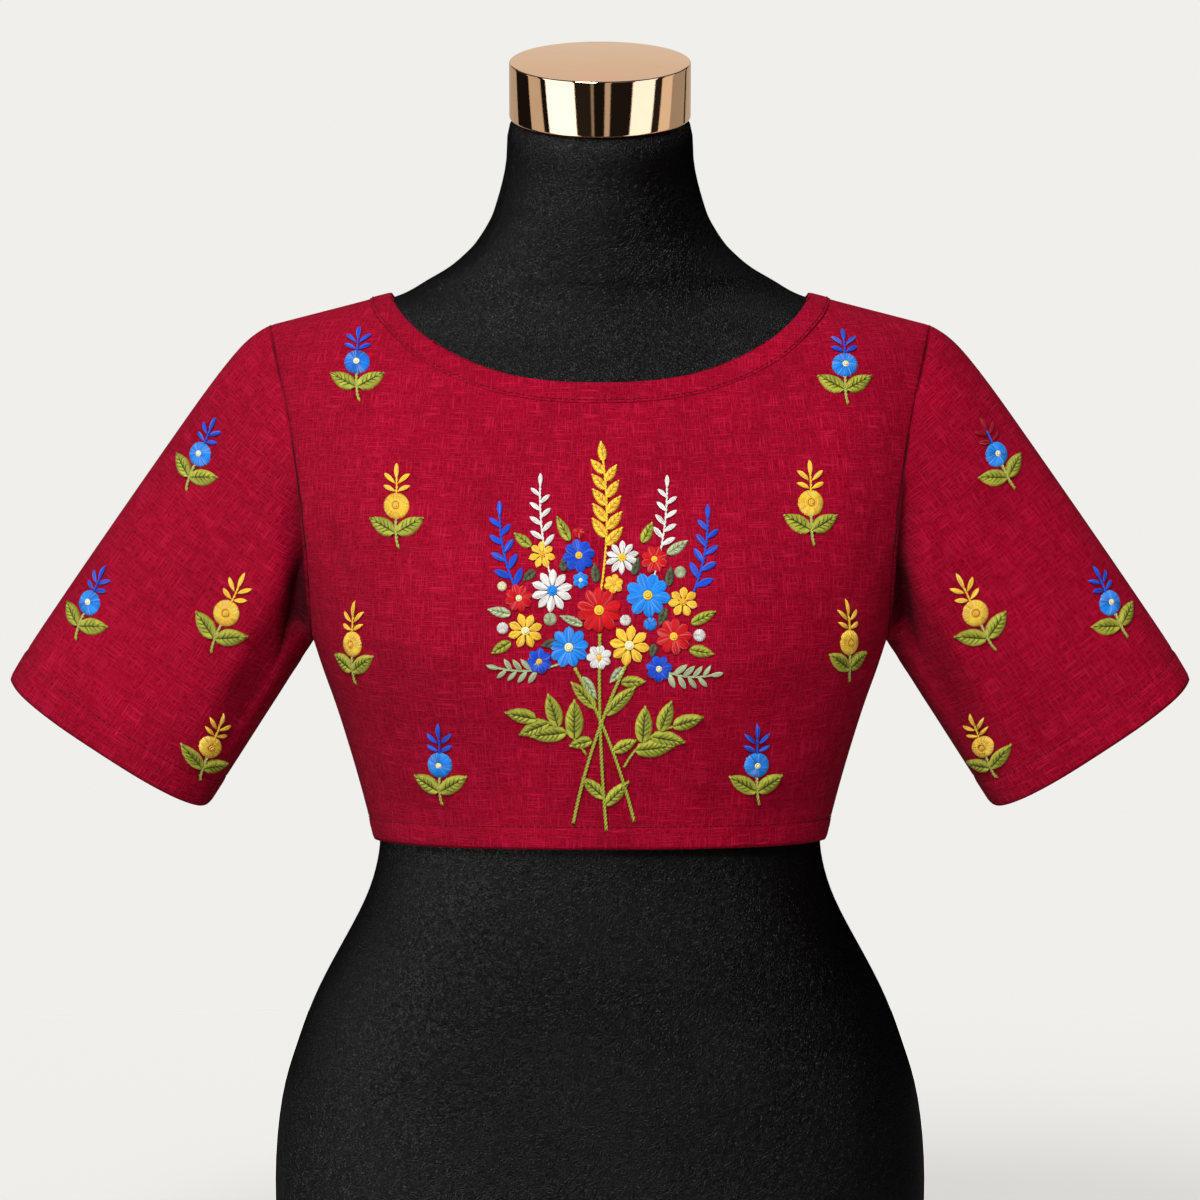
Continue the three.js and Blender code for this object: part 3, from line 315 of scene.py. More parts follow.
# ---------------------------------------------------------------- front, back and sleeves
# Four pieces of crimson linen with slubs in both threads. The seams are pressed, so their edges roll in a
# little, and the hem and the cuffs are turned up and stitched. The warp runs down the body and the sleeves.
# Shade is painted into the linen's colour beside the seams and in the deepest folds.
CLOTH = 0.8 * MM
LINEN = {"deep": (0.17, 0.0004, 0.008), "middle": (0.375, 0.0012, 0.02), "slub": (0.62, 0.011, 0.06)}
THREADS = {"wide": 0.5, "long": 2.8}  # mm, what shows of a thread between two that cross it
SLUBS = {"wide": 0.52, "warp": 13, "weft": 15}  # mm
CLOUDS = (42, 60)  # mm, patches where the dye took a little darker
PAINTED_SEAM_SHADOW = {"wide": 1.0, "dark": 0.5}  # mm, how far the painted shadow beside a seam reaches from the edge, and how dark it is
FOLD_SHADE = {"deepest": -15.0, "from": -0.5, "dark": 0.2}  # mm of sinking where a fold's painted shade is darkest and where it ends, and how dark it gets
HEM, CUFF_HEM = 12.5 * MM, 17 * MM
TURNING = {"proud": 0.35 * MM, "step": 1.2 * MM, "groove": 0.45 * MM, "groove_wide": 1.3 * MM}
TURNING |= {"edge": 0.455 * MM, "edge_wide": 1.1 * MM}
SEAM_ROLL = {"wide": 1.0 * MM, "deep": 0.4 * MM}
FLAT_FACES = {"front": 30, "back": 25, "sleeve_right": 25, "sleeve_left": 25, "neck_band": 25}
# degrees: a wall's own facets meet at less than this, its rims at more


def stored(tree, name, output="Fac"):
    """What a mesh keeps at its points under a name."""
    return add_node(tree, "ShaderNodeAttribute", attribute_name=name).outputs[output]


def linen_material():
    material, tree, shader = nodes_of("linen")
    grain = add_node(tree, "ShaderNodeUVMap", uv_map="grain").outputs["UV"]

    def threads(across, along, seed, detail=2.0):
        """Noise drawn out along the warp, for across < along, or along the weft. Sizes in mm."""
        scale = (1000 / across, 1000 / along, 1.0)
        stretched = add_node(tree, "ShaderNodeVectorMath", {0: grain, 1: scale}, operation="MULTIPLY")
        moved = add_node(tree, "ShaderNodeVectorMath", {0: stretched.outputs[0], 1: (seed, seed * 2.3, 0.0)})
        inputs = {"Vector": moved.outputs[0], "Scale": 1.0, "Detail": detail}
        return add_node(tree, "ShaderNodeTexNoise", inputs, noise_dimensions="2D").outputs["Fac"]

    wide, long = THREADS["wide"], THREADS["long"]
    weave = calculate(tree, "ADD", threads(wide, long, 3.1), threads(long, wide, 7.7))
    weave = calculate(tree, "MULTIPLY", weave, 0.5)
    warp = threads(SLUBS["wide"], SLUBS["warp"], 11.3, 1.0)
    weft = threads(SLUBS["weft"], SLUBS["wide"], 15.9, 1.0)
    thick = [ramp(tree, thread, [(0.54, 0.0), (0.66, 1.0)]) for thread in (warp, weft)]
    faint = calculate(tree, "MULTIPLY", calculate(tree, "MAXIMUM", *thick), 0.5)
    body = ramp(tree, weave, [(0.36, LINEN["deep"]), (0.58, LINEN["middle"])])
    dyed = mix(tree, faint, body, (*LINEN["slub"], 1), data_type="RGBA")
    worn = darken(tree, dyed, ramp(tree, threads(*CLOUDS, 23.3, 3.0), [(0.3, 0.84), (0.7, 1.0)]))
    # Painted shade: the cloth's colour darkens beside each seam and in sunk folds.
    beside_seam = {0: stored(tree, "seam_mm"), 2: PAINTED_SEAM_SHADOW["wide"], 3: PAINTED_SEAM_SHADOW["dark"], 4: 1.0}
    in_fold = {0: stored(tree, "fold_mm"), 1: FOLD_SHADE["deepest"], 2: FOLD_SHADE["from"]}
    in_fold |= {3: FOLD_SHADE["dark"], 4: 1.0}
    seam_shadow_node, fold_shade_node = (add_node(tree, "ShaderNodeMapRange", inputs) for inputs in (beside_seam, in_fold))
    finish = {
        "Base Color": darken(tree, worn, calculate(tree, "MULTIPLY", seam_shadow_node.outputs[0], fold_shade_node.outputs[0])),
        "Normal": relief(tree, calculate(tree, "ADD", weave, faint), 0.9, 0.45 * MM),
        "Roughness": ramp(tree, weave, [(0.3, 0.95), (0.7, 0.75)]),
        "Specular IOR Level": 0.035,
        "Sheen Weight": 0.015,
        "Sheen Roughness": 0.5,
        "Sheen Tint": (1.0, 0.2, 0.35, 1),
    }
    feed(tree, shader, finish)
    return material


def keep_outer_wall(obj, node, outward):
    """Leaves only the wall that faces out: it is flat-linked to the face that lies furthest outward."""
    mesh = obj.data
    facing = [face for face in mesh.polygons if face.normal.dot(outward) > 0.5]
    furthest = max(facing, key=lambda face: face.center.dot(outward)).index
    in_edit_mode(obj, "DESELECT")
    bpy.ops.mesh.select_mode(type="FACE")
    bpy.ops.object.mode_set(mode="OBJECT")
    mesh.polygons[furthest].select = True
    mesh.polygons.active = furthest
    bpy.ops.object.mode_set(mode="EDIT")
    bpy.ops.mesh.faces_select_linked_flat(sharpness=math.radians(FLAT_FACES[node]))
    bpy.ops.mesh.select_all(action="INVERT")
    bpy.ops.mesh.delete(type="FACE")
    bpy.ops.object.mode_set(mode="OBJECT")


def mark_seam(obj, seam):
    for edge in obj.data.edges:
        edge.use_seam = all(seam(obj.data.vertices[i].co) for i in edge.vertices)


def lay_grain(obj, along):
    """Unfolds obj into a UV map in metres, with v running the way that along points."""
    mesh = obj.data
    mesh.uv_layers.new(name="grain")
    in_edit_mode(obj)
    bpy.ops.uv.unwrap(method="CONFORMAL", margin=0.0)
    bpy.ops.object.mode_set(mode="OBJECT")
    layer = mesh.uv_layers["grain"]
    uv = read(layer.uv, "vector", 2)
    height = places(mesh)[read(mesh.loops, "vertex_index", kind=np.int32)] @ np.array(along)
    centred = uv - uv.mean(axis=0)
    rise = np.linalg.lstsq(centred, height - height.mean(), rcond=None)[0]
    up = rise / np.linalg.norm(rise)
    side = np.array([up[1], -up[0]])
    lying = np.column_stack([centred @ side, centred @ up])
    mesh.calc_loop_triangles()
    real = sum(t.area for t in mesh.loop_triangles)
    loops = np.array([t.loops for t in mesh.loop_triangles])
    a, b, c = (lying[loops[:, k]] for k in range(3))
    ab, ac = b - a, c - a
    turned = ab[:, 0] * ac[:, 1] - ab[:, 1] * ac[:, 0]
    size = math.sqrt(real / abs(turned.sum() / 2))
    mirror = np.array([1.0 if turned.sum() > 0 else -1.0, 1.0])
    layer.uv.foreach_set("vector", np.ascontiguousarray(lying * size * mirror).ravel())


def subdivide(obj):
    modifier = obj.modifiers.new("fine", "SUBSURF")
    modifier.levels = modifier.render_levels = 1
    modifier.boundary_smooth = "PRESERVE_CORNERS"
    apply(obj, modifier)


def fold(points, path, wide, deep):
    """How far a soft fold moves points. Three (x, z) places in mm bow its path, and it fades at its ends."""
    a, b, c = np.array(path) * MM
    steps = np.linspace(0, 1, 25)[:, None]
    line = (1 - steps) ** 2 * a + 2 * steps * (1 - steps) * b + steps**2 * c
    apart = np.linalg.norm(points[:, None, :] - line[None, :, :], axis=2)
    gone = apart.argmin(axis=1) / (len(steps) - 1)
    fade = np.sin(np.pi * np.clip(0.08 + 0.84 * gone, 0, 1)) ** 0.7
    return deep * MM * fade * near(apart.min(axis=1), wide * MM)


def free_edges(mesh):
    """The edges that only one face has, as pairs of point numbers."""
    counts = np.bincount(read(mesh.loops, "edge_index", kind=np.int32), minlength=len(mesh.edges))
    return [tuple(mesh.edges[i].vertices) for i in np.flatnonzero(counts == 1)]


def search_tree(points):
    tree = KDTree(len(points))
    for i, p in enumerate(points):
        tree.insert(p, i)
    tree.balance()
    return tree


def boundary_distance(mesh, keep):
    """Each point's distance from the mesh's own free edges where keep says so of their places."""
    points = places(mesh)
    rim = {i for pair in free_edges(mesh) for i in pair}
    tree = search_tree([points[i] for i in rim if keep(points[i])])
    return np.array([tree.find(p)[2] for p in points])


def turned_hem(rise, deep):
    """The relief of a turned hem, by height above its edge: a thicker strip up to a stitched groove."""
    strip = TURNING["proud"] * (1 - smooth_step((rise - deep + TURNING["step"]) / TURNING["step"]))
    groove = TURNING["groove"] * near(rise - deep, TURNING["groove_wide"])
    return strip - groove - TURNING["edge"] * near(rise, TURNING["edge_wide"])


def write_mm(mesh, name, values):
    """Keeps a length at each point, in mm, for the material."""
    layer = mesh.attributes.new(name, "FLOAT", "POINT")
    layer.data.foreach_set("value", np.minimum(values / MM, 20))


def make_panel(node, name, outward, along, folds, hem, rise, seam=lambda p: False):
    """One cloth piece from its solid's outer wall, with its folds, its hem and its pressed seams."""
    obj = copy_of(node, name)
    keep_outer_wall(obj, node, Vector(outward))
    mark_seam(obj, seam)
    smooth_through(obj, 2)
    lay_grain(obj, along)
    subdivide(obj)
    mesh = obj.data
    points, out = places(mesh), normals(mesh)
    depth = np.zeros(len(points))
    for side, rows in zip((-1, 1), folds):
        facing = np.clip(side * FOLD_FACING * out[:, 1], 0, 1)
        for *path, wide, deep in rows:
            depth += facing * fold(points[:, [0, 2]], path, wide, deep)
    edge = boundary_distance(mesh, lambda p: rise(p[None, :])[0] >= ON_HEM)
    moved = depth * smooth_step(edge / FOLD_EDGE) + turned_hem(rise(points), hem)
    moved -= SEAM_ROLL["deep"] * near(edge, SEAM_ROLL["wide"])
    put(mesh, points + out * moved[:, None])
    # seam_mm and fold_mm carry the painted shade beside the seams and in sunk folds to the material
    write_mm(mesh, "seam_mm", edge)
    write_mm(mesh, "fold_mm", depth * (1.2 - 0.2 * smooth_step(edge / SEAM_SHADE)))
    return obj


def finish_panel(obj, node, material, thick=CLOTH):
    wall = obj.modifiers.new("wall", "SOLIDIFY")
    wall.thickness = thick
    wall.offset = -1
    apply(obj, wall)
    obj.data.materials.append(material)
    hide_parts(node)
    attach(obj, "root")


HEM_Z = 277.7 * MM
HEM_BOW, HEM_HALF = 1.2 * MM, 127 * MM  # how much higher it is cut in the middle, and half its width
ON_HEM = 3 * MM  # an edge that is less than this above a hem's or a cuff's own is part of it
FOLD_EDGE = 3.5 * MM  # a fold reaches its full depth this far from a seam
SEAM_SHADE = 9 * MM  # and its painted shade is deeper up to this far from it
FOLD_FACING = 1.6  # a fold has its full depth where the cloth faces ahead, and fades toward the sides
FRONT_FOLDS = [  # three (x, z) places that bow the fold's path, its width and how far it stands out, in mm
    ((-132, 388), (-112, 372), (-84, 366), 10, -1.1),
    ((134, 384), (116, 366), (90, 358), 11, -1.2),
    ((-128, 330), (-104, 318), (-72, 300), 12, 1.3),
    ((130, 338), (108, 322), (82, 300), 11, 1.2),
    ((-118, 296), (-100, 300), (-78, 290), 8, -0.9),
    ((112, 300), (96, 298), (80, 288), 8, -0.8),
    ((-52, 282), (-58, 310), (-70, 336), 9, -0.8),
    ((64, 280), (66, 304), (76, 326), 9, -0.9),
    ((-158, 470), (-146, 448), (-138, 418), 8, -1.3),
    ((160, 466), (149, 446), (142, 420), 8, -1.2),
    ((-168, 500), (-150, 486), (-132, 486), 7, -0.7),
    ((170, 506), (152, 494), (138, 496), 7, -0.7),
    ((-96, 536), (-60, 512), (-20, 505), 12, 0.6),
    ((98, 538), (66, 516), (34, 508), 11, 0.5),
]
BACK_FOLDS = [
    ((-140, 420), (-100, 404), (-60, 410), 12, -1.6),
    ((142, 428), (96, 408), (52, 414), 11, -1.5),
    ((-128, 352), (-84, 338), (-30, 344), 13, 1.8),
    ((132, 346), (88, 330), (38, 338), 12, 1.6),
    ((-96, 318), (-48, 306), (4, 312), 10, -1.5),
    ((104, 322), (64, 308), (24, 304), 9, -1.3),
    ((-164, 470), (-142, 444), (-130, 408), 9, -1.8),
    ((164, 476), (144, 448), (134, 414), 9, -1.7),
    ((-26, 520), (-20, 470), (-30, 420), 13, 0.8),
    ((30, 524), (34, 480), (22, 436), 12, 0.7),
]
# For the sleeve on +X. The other sleeve's are mirrored, moved and scaled a little, so that the two differ.
SLEEVE_FOLDS = [
    ((168, 470), (160.5, 418), (165, 356), 9.5, -13),
    ((170, 412), (184, 376), (212, 322), 15, -6),
    ((186, 424), (200, 392), (216, 352), 9, 1.3),
    ((178, 498), (190, 476), (196, 444), 9, -1.2),
    ((196, 404), (214, 380), (226, 344), 8, -1.1),
    ((232, 322), (252, 356), (282, 374), 9, -0.7),
    ((214, 478), (240, 442), (268, 404), 14, 0.9),
]
SLEEVE_BACK_FOLDS = [
    ((169, 474), (161, 422), (165, 360), 10, -10),
    ((172, 414), (188, 376), (214, 326), 14, -4),
    ((184, 470), (206, 446), (236, 430), 10, -1.5),
    ((206, 398), (230, 384), (258, 384), 10, 1.6),
    ((222, 356), (246, 356), (280, 372), 9, -1.2),
]
LEFT_SLEEVE = {"shift": (0.6, -3), "scale": 1.06}
SLEEVE_FALL = math.radians(33.1)
UNDERARM = Vector((160.3, 2.85, 388.6)) * MM  # where the seam under the arm begins
CUFF_INNER = Vector((220.4, 26, 295.7)) * MM  # and where it ends
CUFF_ALONG = Vector((math.sin(SLEEVE_FALL), 0, -math.cos(SLEEVE_FALL)))
CUFF_MIDDLE = Vector((275.8, 26, 331.8)) * MM
SLEEVE_OUTWARD = (0.84, 0, 0.55)
CUFF_BACK = math.radians(8)
CUFF_NORMAL = CUFF_ALONG * math.cos(CUFF_BACK) + Vector((0, math.sin(CUFF_BACK), 0))


def on_side(place, hand):
    return Vector((place[0] * hand, place[1], place[2]))


def along_underarm(hand):
    """True of the places on the sleeve's underarm seam."""

    def on_seam(p):
        q = on_side(p, hand) - UNDERARM
        line = CUFF_INNER - UNDERARM
        t = max(0.0, min(1.0, q.dot(line) / line.length_squared))
        return (q - line * t).length < 3 * MM

    return on_seam


def mirrored_folds(folds, shift, scale):
    moved = []
    for *path, wide, deep in folds:
        moved.append((*[(-x - shift[0], z + shift[1]) for x, z in path], wide, deep * scale))
    return moved


def hem_bow(x):
    return HEM_BOW * np.cos(np.pi / 2 * np.clip(np.abs(x) / HEM_HALF, 0, 1))


def body_rise(points):
    """Height above the hem."""
    return points[:, 2] - HEM_Z - hem_bow(points[:, 0])


def sleeve_rise(hand):
    """Distance from the cuff's plane, into the sleeve."""
    facing, middle = np.array(on_side(CUFF_NORMAL, hand)), np.array(on_side(CUFF_MIDDLE, hand))
    return lambda points: (middle - points) @ facing


linen = linen_material()
panels = {}
for node, outward, folds in (("front", (0, -1, 0), (FRONT_FOLDS, [])), ("back", (0, 1, 0), ([], BACK_FOLDS))):
    panels[node] = make_panel(node, f"{node}_panel", outward, (0, 0, 1), folds, HEM, body_rise)
for node, hand in (("sleeve_right", 1), ("sleeve_left", -1)):
    folds = [SLEEVE_FOLDS, SLEEVE_BACK_FOLDS]
    if hand < 0:
        folds = [mirrored_folds(rows, **LEFT_SLEEVE) for rows in folds]
    outward, along = on_side(SLEEVE_OUTWARD, hand), -on_side(CUFF_ALONG, hand)
    edges = CUFF_HEM, sleeve_rise(hand), along_underarm(hand)
    panels[node] = make_panel(node, f"{node}_cloth", outward, along, folds, *edges)
trees = {node: BVHTree.FromObject(obj, bpy.context.evaluated_depsgraph_get()) for node, obj in panels.items()}
rims = {}
for node, obj in panels.items():
    rim = sorted({i for pair in free_edges(obj.data) for i in pair})
    rims[node] = places(obj.data)[rim], normals(obj.data)[rim]
for node, obj in panels.items():
    finish_panel(obj, node, linen)


# ---------------------------------------------------------------- the neck band
# A facing of the same linen, cut to the neckline's shape, turned over its raw edge and stitched down along
# its lower edge. It lies on the front and the back and is one strip all round.
BAND = {"wall": 0.75 * MM, "press": 0.85 * MM, "stitch_in": 1.7 * MM, "shade_from": 0.5 * MM}
BAND |= {"middle_y": 12 * MM}
BAND_ROLL = {"wide": 1.2 * MM, "deep": 0.35 * MM}

band = copy_of("neck_band", "neck_facing")
keep_outer_wall(band, "neck_band", Vector((0, -1, 0)))
mark_seam(band, lambda p: p.y > 0 and abs(p.x) < 0.5 * MM)  # it is joined at the middle of the back
smooth_through(band, 2)
lay_grain(band, (0, 0, 1))
subdivide(band)
band_edge = boundary_distance(band.data, lambda p: True)
band_in = BAND_ROLL["deep"] * near(band_edge, BAND_ROLL["wide"])
put(band.data, places(band.data) - normals(band.data) * (band_in[:, None] + BAND["press"]))
# the band's edges take a lighter painted seam shadow, as if they lay shade_from further in
write_mm(band.data, "seam_mm", band_edge + BAND["shade_from"])
trees["neck_band"] = BVHTree.FromObject(band, bpy.context.evaluated_depsgraph_get())
band_points, band_edges = places(band.data), free_edges(band.data)
finish_panel(band, "neck_band", linen, BAND["wall"])


# ---------------------------------------------------------------- the sewing thread
# Polyester sewing thread, a shade darker than the linen: a row of short stitches round the hem, the cuffs and
# the lower edge of the neck band, each a strand that dips into the cloth at both ends. At the bottom of the
# armhole, shoulder and side seams' grooves lies a near-black cord: a painted shadow, for each seam's dark
# line.
SEWING = {"long": 2.5 * MM, "pitch": 3.4 * MM, "wide": 0.5 * MM, "high": 0.34 * MM}
SEWING |= {"dye": (0.08, 0.0007, 0.006)}
STITCH_ALONG = np.array([-1, -0.6, 0, 0.6, 1])  # its points, as shares of half its length
STITCH_LIFT = np.array([-0.4, -0.02, 0.08, -0.02, -0.4]) * MM  # and how far each is above the cloth
HEM_OVAL = (126.6 * MM, 90 * MM)
HEM_RAY = {"from": (1.6, 1.9), "to": 0.55}  # times the oval, aside and forward
CUFF_OVAL = (66, 47)
# a painted shadow: a near-black cord that stands for each seam's dark line
SEAM_SHADOW_CORD = {"wide": 1.1 * MM, "high": 0.12 * MM, "dye": (0.03, 0.0004, 0.0022)}
SEAM_SHADOW_CORD |= {"raised": 0.5 * MM, "level": 562 * MM, "below": 20 * MM}  # raised below the shoulders' ends
SECTION = np.radians([0, 48, 90, 132, 180])  # a strand's cross-section: a low arch that is closed below


def gone_along(path):
    """How far each point of a path is along it."""
    return np.concatenate([[0], np.cumsum(np.linalg.norm(np.diff(path, axis=0), axis=1))])


class Strands:
    """Strands of thread in one mesh, each point with its own dye and its own place in the twist."""

    def __init__(self, seed):
        self.points, self.faces, self.dyes, self.twists, self.count = [], [], [], [], 0
        self.chance = np.random.default_rng(seed)

    def add(self, path, out, wide, high, dye):
        """One strand along path, on a surface with the normals out. wide, high and dye may vary along it."""
        path, out = np.asarray(path), np.asarray(out)
        count, around = len(path), len(SECTION)
        run = np.gradient(path, axis=0)
        aside = np.cross(run, out)
        aside /= np.linalg.norm(aside, axis=1)[:, None]
        up = np.cross(aside, run)
        up /= np.linalg.norm(up, axis=1)[:, None]
        wide, high = np.broadcast_to(wide, count), np.broadcast_to(high, count)
        flat = np.cos(SECTION)[None, :, None] * (aside * wide[:, None] / 2)[:, None, :]
        tall = np.sin(SECTION)[None, :, None] * (up * high[:, None])[:, None, :]
        rings = path[:, None, :] + flat + tall
        turn = np.broadcast_to(SECTION, (count, around))
        along_mm = np.broadcast_to(gone_along(path)[:, None] / MM, (count, around))
        twist = np.stack([np.cos(turn), np.sin(turn), along_mm], axis=2)
        dye = np.broadcast_to(np.asarray(dye, dtype=float), (count, 3))
        self.points.append(rings.reshape(-1, 3))
        self.twists.append(twist.reshape(-1, 3))
        self.dyes.append(np.repeat(dye, around, axis=0))
        ring = self.count + np.arange(around)
        for k in range(count - 1):
            low, top = ring + k * around, ring + (k + 1) * around
            for j in range(around):
                n = (j + 1) % around
                self.faces.append((low[j], low[n], top[n], top[j]))
        self.faces.append(tuple(ring[::-1]))
        self.faces.append(tuple(ring + (count - 1) * around))
        self.count += count * around

    def finish(self, name, slot, material, nodes=()):
        mesh = bpy.data.meshes.new(name)
        mesh.from_pydata(np.concatenate(self.points).tolist(), [], [[int(i) for i in f] for f in self.faces])
        dyes = mesh.attributes.new("dye", "FLOAT_COLOR", "POINT")
        colours = np.concatenate(self.dyes)
        dyes.data.foreach_set("color", np.column_stack([colours, np.ones(len(colours))]).ravel())
        twists = mesh.attributes.new("twist", "FLOAT_VECTOR", "POINT")
        twists.data.foreach_set("vector", np.concatenate(self.twists).ravel())
        mesh.polygons.foreach_set("use_smooth", [True] * len(mesh.polygons))
        mesh.materials.append(material)
        mesh.update()
        obj = add_object(name, mesh)
        in_edit_mode(obj)
        bpy.ops.mesh.normals_make_consistent(inside=False)
        bpy.ops.object.mode_set(mode="OBJECT")
        if nodes:
            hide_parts(*nodes)
        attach(obj, "root")
        return obj


def thread_material(name, rough, shine):
    """Twisted thread: its dye with a little wear and painted shade down its sides, and the fine slanting
    lines of its plies.
    """
    material, tree, shader = nodes_of(name)
    parts = add_node(tree, "ShaderNodeSeparateXYZ", {0: stored(tree, "twist", "Vector")}).outputs
    turns = calculate(tree, "MULTIPLY", parts[2], 7.5)
    waves = [calculate(tree, wave, turns) for wave in ("SINE", "COSINE")]
    slants = [calculate(tree, "MULTIPLY", wave, parts[i]) for i, wave in enumerate(waves)]
    place = add_node(tree, "ShaderNodeTexCoord").outputs["Object"]
    fuzz = noise(tree, place, 1400.0, 3.0)
    worn = darken(tree, stored(tree, "dye", "Color"), ramp(tree, fuzz, [(0.3, 0.82), (0.65, 1.0)]))
    finish = {
        # painted shade: the colour darkens toward each strand's sides, low against the cloth and its
        # neighbours
        "Base Color": darken(tree, worn, ramp(tree, parts[1], [(0.15, 0.38), (0.75, 1.0)])),
        "Normal": relief(tree, calculate(tree, "ADD", *slants), 0.35, 0.06 * MM),
        "Roughness": between_values(tree, fuzz, rough, rough + 0.16),
        "Specular IOR Level": shine,
        "Sheen Weight": shine * 0.1,
    }
    feed(tree, shader, finish)
    return material


def cast(node, start, way):
    """Where a ray meets a cloth piece, and the outward direction there."""
    spot, out, _, _ = trees[node].ray_cast(start, way)
    if spot is None:
        spot, out, _, _ = trees[node].find_nearest(start)
    return spot, (out if out.dot(way) < 0 else -out)


def stitch_row(strands, track, closed):
    """Short stitches, evenly spaced along a track of (place, outward direction)."""
    spots = np.array([list(p) for p, _ in track])
    outs = np.array([list(n) for _, n in track])
    gone = gone_along(spots)
    count = round(gone[-1] / SEWING["pitch"])
    for k in range(count):
        middle = (k + (0.0 if closed else 0.5)) * gone[-1] / count
        reach = SEWING["long"] * (0.5 + 0.05 * strands.chance.standard_normal())
        steps = middle + reach * STITCH_ALONG
        steps = steps % gone[-1] if closed else steps
        at, out = (np.column_stack([np.interp(steps, gone, v) for v in rows.T]) for rows in (spots, outs))
        dye = np.array(SEWING["dye"]) * strands.chance.uniform(0.8, 1.15)
        strands.add(at + out * STITCH_LIFT[:, None], out, SEWING["wide"], SEWING["high"], dye)


def hem_track(node, side):
    """Round half of the hem, found by rays toward the form's middle."""
    track = []
    for angle in np.radians(np.linspace(4, 176, 161)):
        x, y = HEM_OVAL[0] * math.cos(angle), side * HEM_OVAL[1] * math.sin(angle)
        z = HEM_Z + HEM + hem_bow(x)
        start = Vector((x * HEM_RAY["from"][0], y * HEM_RAY["from"][1], z))
        track.append(cast(node, start, (Vector((x * HEM_RAY["to"], 0, z)) - start).normalized()))
    return track


def cuff_track(node, hand):
    """Round a cuff, found by rays out from its middle."""
    out = Vector((math.cos(SLEEVE_FALL) * hand, 0, math.sin(SLEEVE_FALL)))
    along = on_side(CUFF_NORMAL, hand)
    front = out.cross(along).normalized()
    centre = on_side(CUFF_MIDDLE, hand) - along * CUFF_HEM
    track = []
    for angle in np.linspace(0, 2 * math.pi, 181):
        way = out * CUFF_OVAL[0] * math.cos(angle) + front * CUFF_OVAL[1] * math.sin(angle)
        spot, normal = cast(node, centre, way.normalized())
        track.append((spot, -normal))
    return track


def band_track():
    """Round the neck band, a little above its lower edge. Of its two edge loops, the longer is the lower."""
    ends = {}
    for one, other in band_edges:
        ends.setdefault(one, []).append(other)
        ends.setdefault(other, []).append(one)
    loops = []
    while ends:
        loop = [min(ends)]
        while ends.get(loop[-1]):
            here = loop[-1]
            following = [i for i in ends.pop(here) if i in ends]
            if not following:
                break
            loop.append(following[0])
        loops.append([Vector(band_points[i]) for i in loop])
    upper, lower = sorted(loops, key=lambda loop: sum((b - a).length for a, b in zip(loop, loop[1:])))
    tree = search_tree(upper)
    track = []
    for p in lower[:: max(1, len(lower) // 240)] + [lower[0]]:
        inward = Vector(tree.find(p)[0]) - p
        spot, out, _, _ = trees["neck_band"].find_nearest(p + inward.normalized() * BAND["stitch_in"])
        middle = Vector((0, BAND["middle_y"], spot.z))
        track.append((spot, out if out.dot(spot - middle) > 0 else -out))
    return track


def lay_seam_shadow(node, others, chosen, order, closed=False):
    """Painted shadow: a near-black cord at the bottom of a seam's groove, midway between a cloth piece's edge
    and its neighbours'.
    """
    points, outs = rims[node]
    row = sorted((i for i in range(len(points)) if chosen(*points[i])), key=lambda i: order(*points[i]))
    beyond, facing = (np.concatenate([rims[other][k] for other in others]) for k in range(2))
    tree = search_tree(beyond)
    across = [tree.find(points[i])[1] for i in row]
    path, out = (points[row] + beyond[across]) / 2, outs[row] + facing[across]
    if closed:
        path, out = np.vstack([path, path[:1]]), np.vstack([out, out[:1]])
    for _ in range(3):
        path[1:-1] = (path[:-2] + 2 * path[1:-1] + path[2:]) / 4
        out[1:-1] = (out[:-2] + 2 * out[1:-1] + out[2:]) / 4
    out /= np.linalg.norm(out, axis=1)[:, None]
    raised = SEAM_SHADOW_CORD["raised"] * smooth_step((SEAM_SHADOW_CORD["level"] - path[:, 2:]) / SEAM_SHADOW_CORD["below"])
    stitches_and_shadow_cords.add(path + out * raised, out, SEAM_SHADOW_CORD["wide"], SEAM_SHADOW_CORD["high"], SEAM_SHADOW_CORD["dye"])


def shadow_seams(node, hand):
    """Painted shadow cords along the armhole's seam, and the shoulder and side seams beside it."""

    def in_armhole(x, y, z):
        return x * hand < 186 * MM

    def on_shoulder(x, y, z):
        return 131 * MM < x * hand < 183 * MM and z > 555 * MM and y > 12 * MM

    def at_side(x, y, z):
        return x * hand > 100 * MM and HEM_Z + 4 * MM < z < 386 * MM

    def round_arm(x, y, z):
        return math.atan2(y - 13 * MM, z - 470 * MM)

    lay_seam_shadow(node, ("front", "back"), in_armhole, round_arm, True)
    lay_seam_shadow("front", ("back",), on_shoulder, lambda x, y, z: x)
    lay_seam_shadow("front", ("back",), at_side, lambda x, y, z: z)


stitches_and_shadow_cords = Strands(11)
for node, side in (("front", -1), ("back", 1)):
    stitch_row(stitches_and_shadow_cords, hem_track(node, side), False)
for node, hand in (("sleeve_right", 1), ("sleeve_left", -1)):
    stitch_row(stitches_and_shadow_cords, cuff_track(node, hand), True)
stitch_row(stitches_and_shadow_cords, band_track(), True)
for node, hand in (("sleeve_right", 1), ("sleeve_left", -1)):
    shadow_seams(node, hand)
thread_and_seam_shadow = thread_material("thread_and_seam_shadow", rough=0.6, shine=0.1)
stitches_and_shadow_cords.finish("stitches_and_seam_shadows", "thread_crimson", thread_and_seam_shadow)


